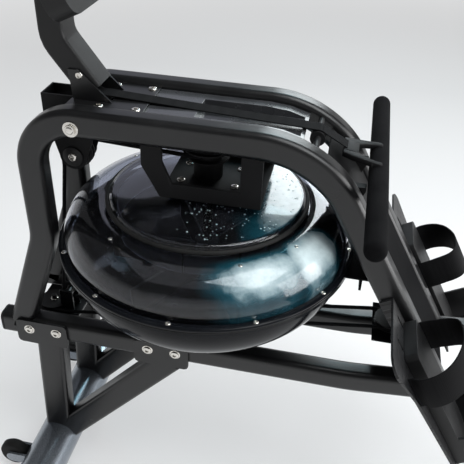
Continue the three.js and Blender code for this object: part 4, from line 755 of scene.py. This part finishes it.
# The front axle: a shaft with a washer, a nut and a domed end on each side. Profiles are radius and y
AXLE_X, AXLE_Z, NUT_Y = -457, 779, 96.8
axle_parts = [turned_across([(0, -91), (8, -91), (8, 91), (0, 91)], AXLE_X, AXLE_Z, 40)]
washer = [(6, 93.2), (12.3, 93.2), (12.5, 93.5), (12.5, 94.5), (12.1, 94.9), (6, 94.9), (6, 93.2)]
dome_end = [(0, 92), (6.2, 92), (6.2, 98.6), (5.4, 99.5), (3.6, 100.1), (0, 100.3)]
for _, side in SIDES:
    axle_parts.append(turned_across([(r, side * y) for r, y in washer], AXLE_X, AXLE_Z))
    axle_parts.append(turned_across([(r, side * y) for r, y in dome_end], AXLE_X, AXLE_Z, 32))
    deselect()
    bpy.ops.mesh.primitive_cylinder_add(vertices=6, radius=0.0088, depth=0.0036, rotation=(math.pi / 2, 0, 0),
                                        location=at(AXLE_X, side * NUT_Y, AXLE_Z))
    axle_parts.append(soften(settle(bpy.context.object), 0.0006, 40))
finish_piece(joined(axle_parts), "front_axle_nuts", steel, "frame", ("front_axle",), 35)

CAP_GAP, CAP_LENGTH = 0.3, 6.2
cap_line = [(RAIL_FRONT_X - CAP_GAP - CAP_LENGTH, RAIL_LOW, 0), (RAIL_FRONT_X - CAP_GAP, RAIL_LOW, 0)]
for word, side in SIDES:
    cap = bent_tube(cap_line, TUBE_WIDE, TUBE_DEEP, TUBE_CORNER, side * ARCH_Y)
    finish_piece(soften(cap, 0.0028, 60, 3), "rail_cap_" + word, moulded_black,
                 smooth=40)

# Water beads on the dome's top, thickest toward the rear and near side; their pale opaque colour is painted
# highlight in place of the water's reflections
BEADS, BEAD_REACH = 230, 150
TOP_MIDDLE, TOP_KNEE, TOP_EDGE = (30, 659), (98, 656), (150, 652)


def top_height(radius):
    """Height of the dome's flat top at a radius."""
    (start, high), (end, low) = (TOP_MIDDLE, TOP_KNEE) if radius < TOP_KNEE[0] else (TOP_KNEE, TOP_EDGE)
    return high - (high - low) * (radius - start) / (end - start)


spread = random.Random(7)
bead_spots = []
while len(bead_spots) < BEADS:
    radius, turn = BEAD_REACH * math.sqrt(spread.random()), spread.uniform(-105, 80)
    x, y = on_circle(radius, turn)
    if x > -40 and spread.random() < 0.35 + x / 220:
        bead_spots.append((at(TANK_X + x, y, top_height(radius) - 0.1), spread.uniform(0.7, 1.7)))
drops = []
for place, size in bead_spots:
    deselect()
    bpy.ops.mesh.primitive_uv_sphere_add(segments=8, ring_count=5, radius=size / 1000, location=place)
    bead = bpy.context.object
    bead.scale = (1, spread.uniform(0.8, 1.2), 0.5)
    drops.append(settle(bead))
finish_piece(joined(drops), "dome_water_beads", beads_painted_highlight, smooth=80)

# ---- Handle

HANDLE_Z = 737
grip = smooth_run([(0, -240), (8, -239.6), (12.6, -237), (15, -231), (15.2, -222)], 3)
grip = grip + [(15.2, -60), (15.2, 60)] + [(r, -y) for r, y in reversed(grip)]
finish_piece(turned_across(grip, 0, HANDLE_Z, 64), "handle_grip", grip_foam, "handle", ("handle_bar",),
             60)

# The yoke: two arms with a root each, and the bridge that the belt ends in. Outlines are x, y, height
ARM = [(-57, 6, 764.5), (-57, 25, 763.5), (-42, 29, 760.5), (-22, 32.5, 757.5), (-5, 36.5, 755.5),
       (0, 36.2, 755), (3, 33, 754.7), (3, 30, 754.7), (0, 27.6, 755), (-6, 27, 755.5), (-26, 20, 758),
       (-40, 6, 761)]
ROOT = [(-14.2, y, z) for y, z in ((27, 754), (36, 754), (36, 729), (27, 729))]
BRIDGE = ((-53, -17, 764), (-53, 17, 764), (-33, 17, 759.5), (-33, -17, 759.5))
yoke_parts = []
for _, side in SIDES:
    arm = plate([at(x, side * y, z) for x, y, z in ARM], Vector((-0.001, 0, -0.0085)))
    yoke_parts.append(soften(arm, 0.0014, 40, 3))
    root = plate([at(x, side * y, z) for x, y, z in ROOT], Vector((0.0035, 0, 0)))
    yoke_parts.append(soften(root, 0.001, 40))
bridge = plate([at(*point) for point in BRIDGE], Vector((-0.002, 0, -0.011)))
yoke_parts.append(soften(bridge, 0.0014, 40, 3))
finish_piece(joined(yoke_parts), "handle_yoke_arms", matt_black, "handle", ("handle_yoke",))

# ---- Straps: webbing loops over the footrests

DOWN_SLOPE = Vector((math.cos(SLOPE), 0, -math.sin(SLOPE)))
PLATE_OUT = Vector((math.sin(SLOPE), 0, math.cos(SLOPE)))
PLATE_TOP = 555
PLATE_X = REAR_BEND_X + (TOP_HEIGHT - PLATE_TOP) / math.tan(SLOPE) + 1.6
STRAP_WIDE, STRAP_THICK, STRAP_SPAN, STRAP_TALL, STRAP_START, STRAP_LIFT = 58, 2.8, 130, 86, 95.8, 4.4


def on_plate(down, y, out):
    return at(PLATE_X, y, PLATE_TOP) + (DOWN_SLOPE * down + PLATE_OUT * out) / 1000


# The loop as shares of the strap's span and height
LOOP = [(0, 0), (0, 0.32), (0.02, 0.56), (0.04, 0.76), (0.09, 0.91), (0.18, 0.98), (0.31, 1), (0.46, 0.99),
        (0.61, 0.92), (0.76, 0.8), (0.87, 0.64), (0.93, 0.46), (0.95, 0.3), (0.94, 0.18), (0.9, 0.08),
        (0.9, 0)]
strap_section = band_section(STRAP_WIDE, STRAP_THICK, 0.0007)
for word, side, middle in (("left", -1, 87), ("right", 1, 113)):
    route = [on_plate(middle, side * (STRAP_START + STRAP_SPAN * across), STRAP_LIFT + STRAP_TALL * rise)
             for across, rise in smooth_run(LOOP, 4)]
    finish_piece(swept(strap_section, route, DOWN_SLOPE), "foot_strap_" + word, black_webbing,
                 "frame", ("strap_" + word,), 50)

# ---- Belt and cord


def tangent_angle(a, radius_a, b, radius_b):
    """The angle of the outer tangent on the left of the line from one circle to the next."""
    line = b - a
    return math.atan2(line.y, line.x) + math.acos((radius_a - radius_b) / line.length)


def arc(centre, radius, start, end, step=4):
    count = max(2, math.ceil(abs(math.degrees(end - start)) / step))
    return [centre + radius * Vector((math.cos(a), math.sin(a)))
            for a in (start + (end - start) * k / count for k in range(count + 1))]


def upright(points):
    """Points of the X-Z plane in the machine's middle."""
    return [at(p.x, 0, p.y) for p in points]


def level(points, x, height):
    """Points of the X-Y plane at a height, counted from a place along X."""
    return [at(x + p.x, p.y, height) for p in points]


def between(first, second, count=12):
    return [first.lerp(second, k / count) for k in range(count + 1)]


ACROSS = Vector((0, 1, 0))
PULLEY, ROLLER, YOKE = Vector((AXLE_X, AXLE_Z)), Vector((-97, 773.5)), Vector((-42, 758))
# Radius of the belt's middle on each wheel, and the belt's section
BELT_FRONT, BELT_REAR, BELT_DRUM = 25.0, 13.3, 36.0
BELT_WIDE, BELT_THICK, TWIST_STEPS = 25, 1.9, 24
BELT_GAP, YOKE_DEPTH = 0.3, 10.3
top_angle = tangent_angle(PULLEY, BELT_FRONT, ROLLER, BELT_REAR)
end_angle = tangent_angle(ROLLER, BELT_REAR, YOKE, 0)
belt_route = upright(arc(ROLLER, BELT_REAR, end_angle, top_angle)
                     + arc(PULLEY, BELT_FRONT, top_angle, 1.5 * math.pi))
belt_sides = [ACROSS] * len(belt_route)
drum_turn = math.asin(BELT_DRUM / (TANK_X - PULLEY.x))
touch = at(TANK_X - BELT_DRUM * math.sin(drum_turn), BELT_DRUM * math.cos(drum_turn), PULLEY.y - BELT_FRONT)
belt_route += between(belt_route[-1], touch, TWIST_STEPS)[1:]
for k in range(1, TWIST_STEPS + 1):
    twist = k / TWIST_STEPS * math.pi / 2
    belt_sides.append(Vector((0, math.cos(twist), math.sin(twist))))
belt_section = band_section(BELT_WIDE, BELT_THICK)
finish_piece(swept(belt_section, belt_route, belt_sides), "pull_belt", black_webbing, "frame",
             ("drive_belt",), 40)

leave_at = ROLLER + BELT_REAR * Vector((math.cos(end_angle), math.sin(end_angle)))
toward = (YOKE - leave_at).normalized()
end_route = upright(between(leave_at + toward * BELT_GAP, YOKE - toward * YOKE_DEPTH))
belt_tail = swept(belt_section, end_route, ACROSS)
settle(belt_tail)
bpy.ops.object.shade_smooth_by_angle(angle=math.radians(40))
belt_tail.name = "pull_belt_end"
belt_tail.data.materials.append(black_webbing)
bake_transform(belt_tail)
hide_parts("belt_end")

# The cord: drum, upper pulley, turning pin, rear pulley, lower pulley, cleat
CORD_RADIUS, CORD_SIDES = 3.45, 14
UPPER, TURN_PIN = Vector((GUARD_X, GUARD_Z)), Vector((-546, 371))
ON_UPPER, ON_FLAT, ON_PIN, ON_DRUM, DRUM_Z = 25.0, 24.5, 12.0, 28.0, 723
LOW_X, LOW_Z, BACK_X, BACK_Z, FLAT_LEAD, CLEAT_X = -580, 341, 69, 430, 34.8, -551.3
QUARTER = math.pi / 2
drop = tangent_angle(TURN_PIN, ON_PIN, UPPER, ON_UPPER)
lead = Vector((UPPER.x + 32.4, UPPER.y + ON_UPPER))
drum_lead = math.asin(ON_DRUM / (TANK_X - lead.x))
cord_route = [at(TANK_X - ON_DRUM * math.sin(drum_lead), -ON_DRUM * math.cos(drum_lead), DRUM_Z)]
cord_route += upright([lead] + arc(UPPER, ON_UPPER, QUARTER, drop, 10)
                      + arc(TURN_PIN, ON_PIN, drop, 1.5 * math.pi, 10))
cord_route += between(cord_route[-1], at(BACK_X - FLAT_LEAD, ON_FLAT, BACK_Z))[1:]
cord_route += level(arc(Vector((0, 0)), ON_FLAT, QUARTER, -QUARTER, 10), BACK_X, BACK_Z)
cord_route += between(at(BACK_X - FLAT_LEAD, -ON_FLAT, BACK_Z), at(LOW_X + FLAT_LEAD, -ON_FLAT, LOW_Z))
cord_route += level(arc(Vector((0, 0)), ON_FLAT, -QUARTER, -3 * QUARTER, 10), LOW_X, LOW_Z)
cord_route.append(at(CLEAT_X, ON_FLAT, LOW_Z))


def carried_sides(route):
    """Side directions carried along a route without twist."""
    side = ACROSS
    sides = []
    for index, point in enumerate(route):
        after = route[min(index + 1, len(route) - 1)]
        before = route[max(index - 1, 0)]
        along = (after - before).normalized()
        side = (side - along * side.dot(along)).normalized()
        sides.append(side.copy())
    return sides


cord = swept(round_section(CORD_RADIUS, CORD_SIDES), cord_route, carried_sides(cord_route))
finish_piece(cord, "return_cord", braided_cord, "frame", ("recoil_cord",), 60)

# ---- Seat cushion


RAIL_TOP, AXLE_LIFT, SEAT_WHEEL, BASE_GAP, BASE_THICK = 400, 20.3, 26, 2.2, 5.3
PAD_X, PAD_MIDDLE, PAD_CUTS = 700, 26, 23
PAD_LONG, PAD_WIDE, PAD_TALL, PAD_EDGE = 0.24, 0.3, 0.044, 0.014
LOBE_RISE, GROOVE_DEPTH, GROOVE_SHARE = 0.010, 0.007, 0.13


def cushion():
    """Foam under a stitched cover: two lobes and a groove along the middle."""
    under = RAIL_TOP + AXLE_LIFT + SEAT_WHEEL + BASE_GAP + BASE_THICK
    deselect()
    bpy.ops.mesh.primitive_cube_add(size=1, location=at(PAD_X, 0, under + PAD_MIDDLE))
    pad = bpy.context.object
    pad.scale = (PAD_LONG, PAD_WIDE, PAD_TALL)
    settle(pad)
    edit(pad)
    bpy.ops.mesh.select_all(action="SELECT")
    bpy.ops.mesh.subdivide(number_cuts=PAD_CUTS)
    leave()
    soften(pad, PAD_EDGE, segments=3)
    middle, crown = at(PAD_X, 0, 0), at(0, 0, under + PAD_MIDDLE + 4).z
    for vertex in pad.data.vertices:
        place = vertex.co
        across, along = (place.y - middle.y) / (PAD_WIDE / 2), (place.x - middle.x) / (PAD_LONG / 2)
        round_off = max(0.0, abs(across) ** 4 + abs(along) ** 4 - 0.75)
        place.x = middle.x + (place.x - middle.x) * (1 - 0.1 * round_off)
        place.y = middle.y + (place.y - middle.y) * (1 - 0.08 * round_off)
        if place.z > crown:
            lobe = math.cos((abs(across) - 0.5) * math.pi * 0.8) * (1 - 0.5 * min(1, round_off))
            place.z += LOBE_RISE * lobe - GROOVE_DEPTH * math.exp(-(across / GROOVE_SHARE) ** 2)
    modify(pad, "SUBSURF", levels=1, render_levels=1)
    return pad


pad = finish_piece(cushion(), "seat_pad", cushion_skin, "seat", ("seat_cushion",), 60)


# ---- Floor, light and camera


def pale_floor():
    """A pale matt floor that the camera, mirror and see-through rays find at a set brightness."""
    net = Net("pale_floor")
    place = net.place()
    # painted shade: the floor's colour and glow darken toward the rear and the far side
    rearward_shade = net.ramp(net.part(place, "X"), 0, 1, 0.1, 1.3)
    shade = net.ramp(rearward_shade + net.ramp(net.part(place, "Y"), 0, 0.9, 0.4, 2.2), 0, 1)
    net.set(Base_Color=net.mix(shade, (0.86, 0.865, 0.87), (0.58, 0.58, 0.582)), Roughness=0.85)
    tint = net.mix(shade, (0.86, 0.865, 0.87), (0.72, 0.725, 0.73))
    glow = net.node("Emission", {}, {"Color": tint, "Strength": 1.0})
    path = net.tree.nodes.new("ShaderNodeLightPath")
    camera_ray, mirrored, through = [Value(net, path.outputs[f"Is {kind} Ray"])
                                     for kind in ("Camera", "Glossy", "Transmission")]
    seen = net.ramp(camera_ray + mirrored + through, 0, 1)
    # half the glow near the object, where its shadow falls, and all of it far away
    distance = net.node("VectorMath", {"operation": "LENGTH"}, {0: place}, "Value")
    net.overlay(seen * net.ramp(distance, 0.5, 1, 2.2, 4.2), glow)
    return net.material


def surroundings():
    """Dim air for the light; a pale wall under a dim ceiling for camera, mirror and see-through rays."""
    world = bpy.data.worlds.new("studio_air")
    bpy.context.scene.world = world
    world.use_nodes = True
    nodes, link = world.node_tree.nodes, world.node_tree.links.new
    air = nodes["Background"]
    wall, ceiling = nodes.new("ShaderNodeBackground"), nodes.new("ShaderNodeBackground")
    for node, colour, strength in ((air, (0.92, 0.95, 1.0, 1), 0.11), (wall, (0.74, 0.745, 0.75, 1), 1.0),
                                   (ceiling, (0.93, 0.945, 0.96, 1), 0.12)):
        node.inputs["Color"].default_value = colour
        node.inputs["Strength"].default_value = strength
    facing, split = nodes.new("ShaderNodeTexCoord"), nodes.new("ShaderNodeSeparateXYZ")
    rise = nodes.new("ShaderNodeMapRange")
    rise.inputs["From Min"].default_value, rise.inputs["From Max"].default_value = 0.06, 0.3
    link(facing.outputs["Generated"], split.inputs[0])
    link(split.outputs["Z"], rise.inputs["Value"])
    path = nodes.new("ShaderNodeLightPath")
    first, second = nodes.new("ShaderNodeMath"), nodes.new("ShaderNodeMath")
    second.use_clamp = True
    link(path.outputs["Is Camera Ray"], first.inputs[0])
    link(path.outputs["Is Glossy Ray"], first.inputs[1])
    link(first.outputs[0], second.inputs[0])
    link(path.outputs["Is Transmission Ray"], second.inputs[1])
    room, choice = nodes.new("ShaderNodeMixShader"), nodes.new("ShaderNodeMixShader")
    for mixer, factor, low, high in ((room, rise, wall, ceiling), (choice, second, air, room)):
        link(factor.outputs[0], mixer.inputs["Fac"])
        link(low.outputs[0], mixer.inputs[1])
        link(high.outputs[0], mixer.inputs[2])
    link(choice.outputs["Shader"], nodes["World Output"].inputs["Surface"])


def softbox(name, place, target, size, power, colour, mirrored=True):
    """A lamp panel: its place, what it faces, width and height, and power in watts."""
    deselect()
    bpy.ops.object.light_add(type="AREA", location=place)
    lamp = bpy.context.object
    lamp.name = name
    lamp.data.shape = "RECTANGLE"
    lamp.data.size, lamp.data.size_y = size
    lamp.data.energy = power
    lamp.data.color = colour
    lamp.visible_camera = False
    lamp.visible_glossy = mirrored
    lamp.rotation_euler = (Vector(target) - Vector(place)).to_track_quat("-Z", "Y").to_euler()


def studio():
    deselect()
    bpy.ops.mesh.primitive_plane_add(size=24, location=(0, 0, 0))
    floor = bpy.context.object
    floor.name = "studio_floor"
    floor.data.materials.append(pale_floor())
    surroundings()
    tank = (-0.5, 0, 0.65)
    softbox("rear_wall_light", (1.95, 0.05, 1.1), (-0.4, 0, 0.6), (2.4, 1.9), 68, (1, 1, 1))
    softbox("far_window", (-0.17, 2.7, 2.1), tank, (1.2, 1.25), 32, (0.92, 0.98, 1))
    softbox("far_window_top", (-0.28, 2.4, 2.85), tank, (1.0, 0.75), 7, (0.3, 0.72, 0.85))
    softbox("far_left_wall", (-1.75, 2.6, 2.0), tank, (1.3, 0.9), 2, (0.8, 0.82, 1))
    softbox("key_light", (0.95, -0.5, 3.2), (0.2, -0.2, 0), (1.8, 2.6), 72, (0.96, 0.99, 1))
    softbox("ceiling_light", (-0.3, -0.2, 4.2), (-0.3, -0.2, 0), (5.5, 4.5), 95, (1, 0.99, 0.985), False)
    softbox("front_fill", (-0.6, -3.0, 1.0), (-0.4, 0, 0.5), (3, 1.2), 9, (1, 1, 1), False)


def camera():
    """The photo's camera: direction and roll in radians, focal length as a share of the picture."""
    azimuth, elevation, roll = 0.180599, 0.610336, 0.040669
    focal_share, sensor = 651.257 / 464, 36
    back = Vector((math.sin(azimuth) * math.cos(elevation), -math.cos(azimuth) * math.cos(elevation),
                   math.sin(elevation)))
    right = (-back).cross(UP).normalized()
    up = right.cross(-back)
    across = math.cos(roll) * right + math.sin(roll) * up
    upward = math.cos(roll) * up - math.sin(roll) * right
    deselect()
    bpy.ops.object.camera_add(location=(-0.444, -0.907, 1.2155))
    eye = bpy.context.object
    eye.name = "photo_camera"
    eye.data.sensor_width = sensor
    eye.data.lens = sensor * focal_share
    eye.rotation_mode = "QUATERNION"
    eye.rotation_quaternion = Matrix((across, upward, back)).transposed().to_quaternion()
    bpy.context.scene.camera = eye


studio()
camera()
bpy.context.scene.view_settings.view_transform = "Standard"
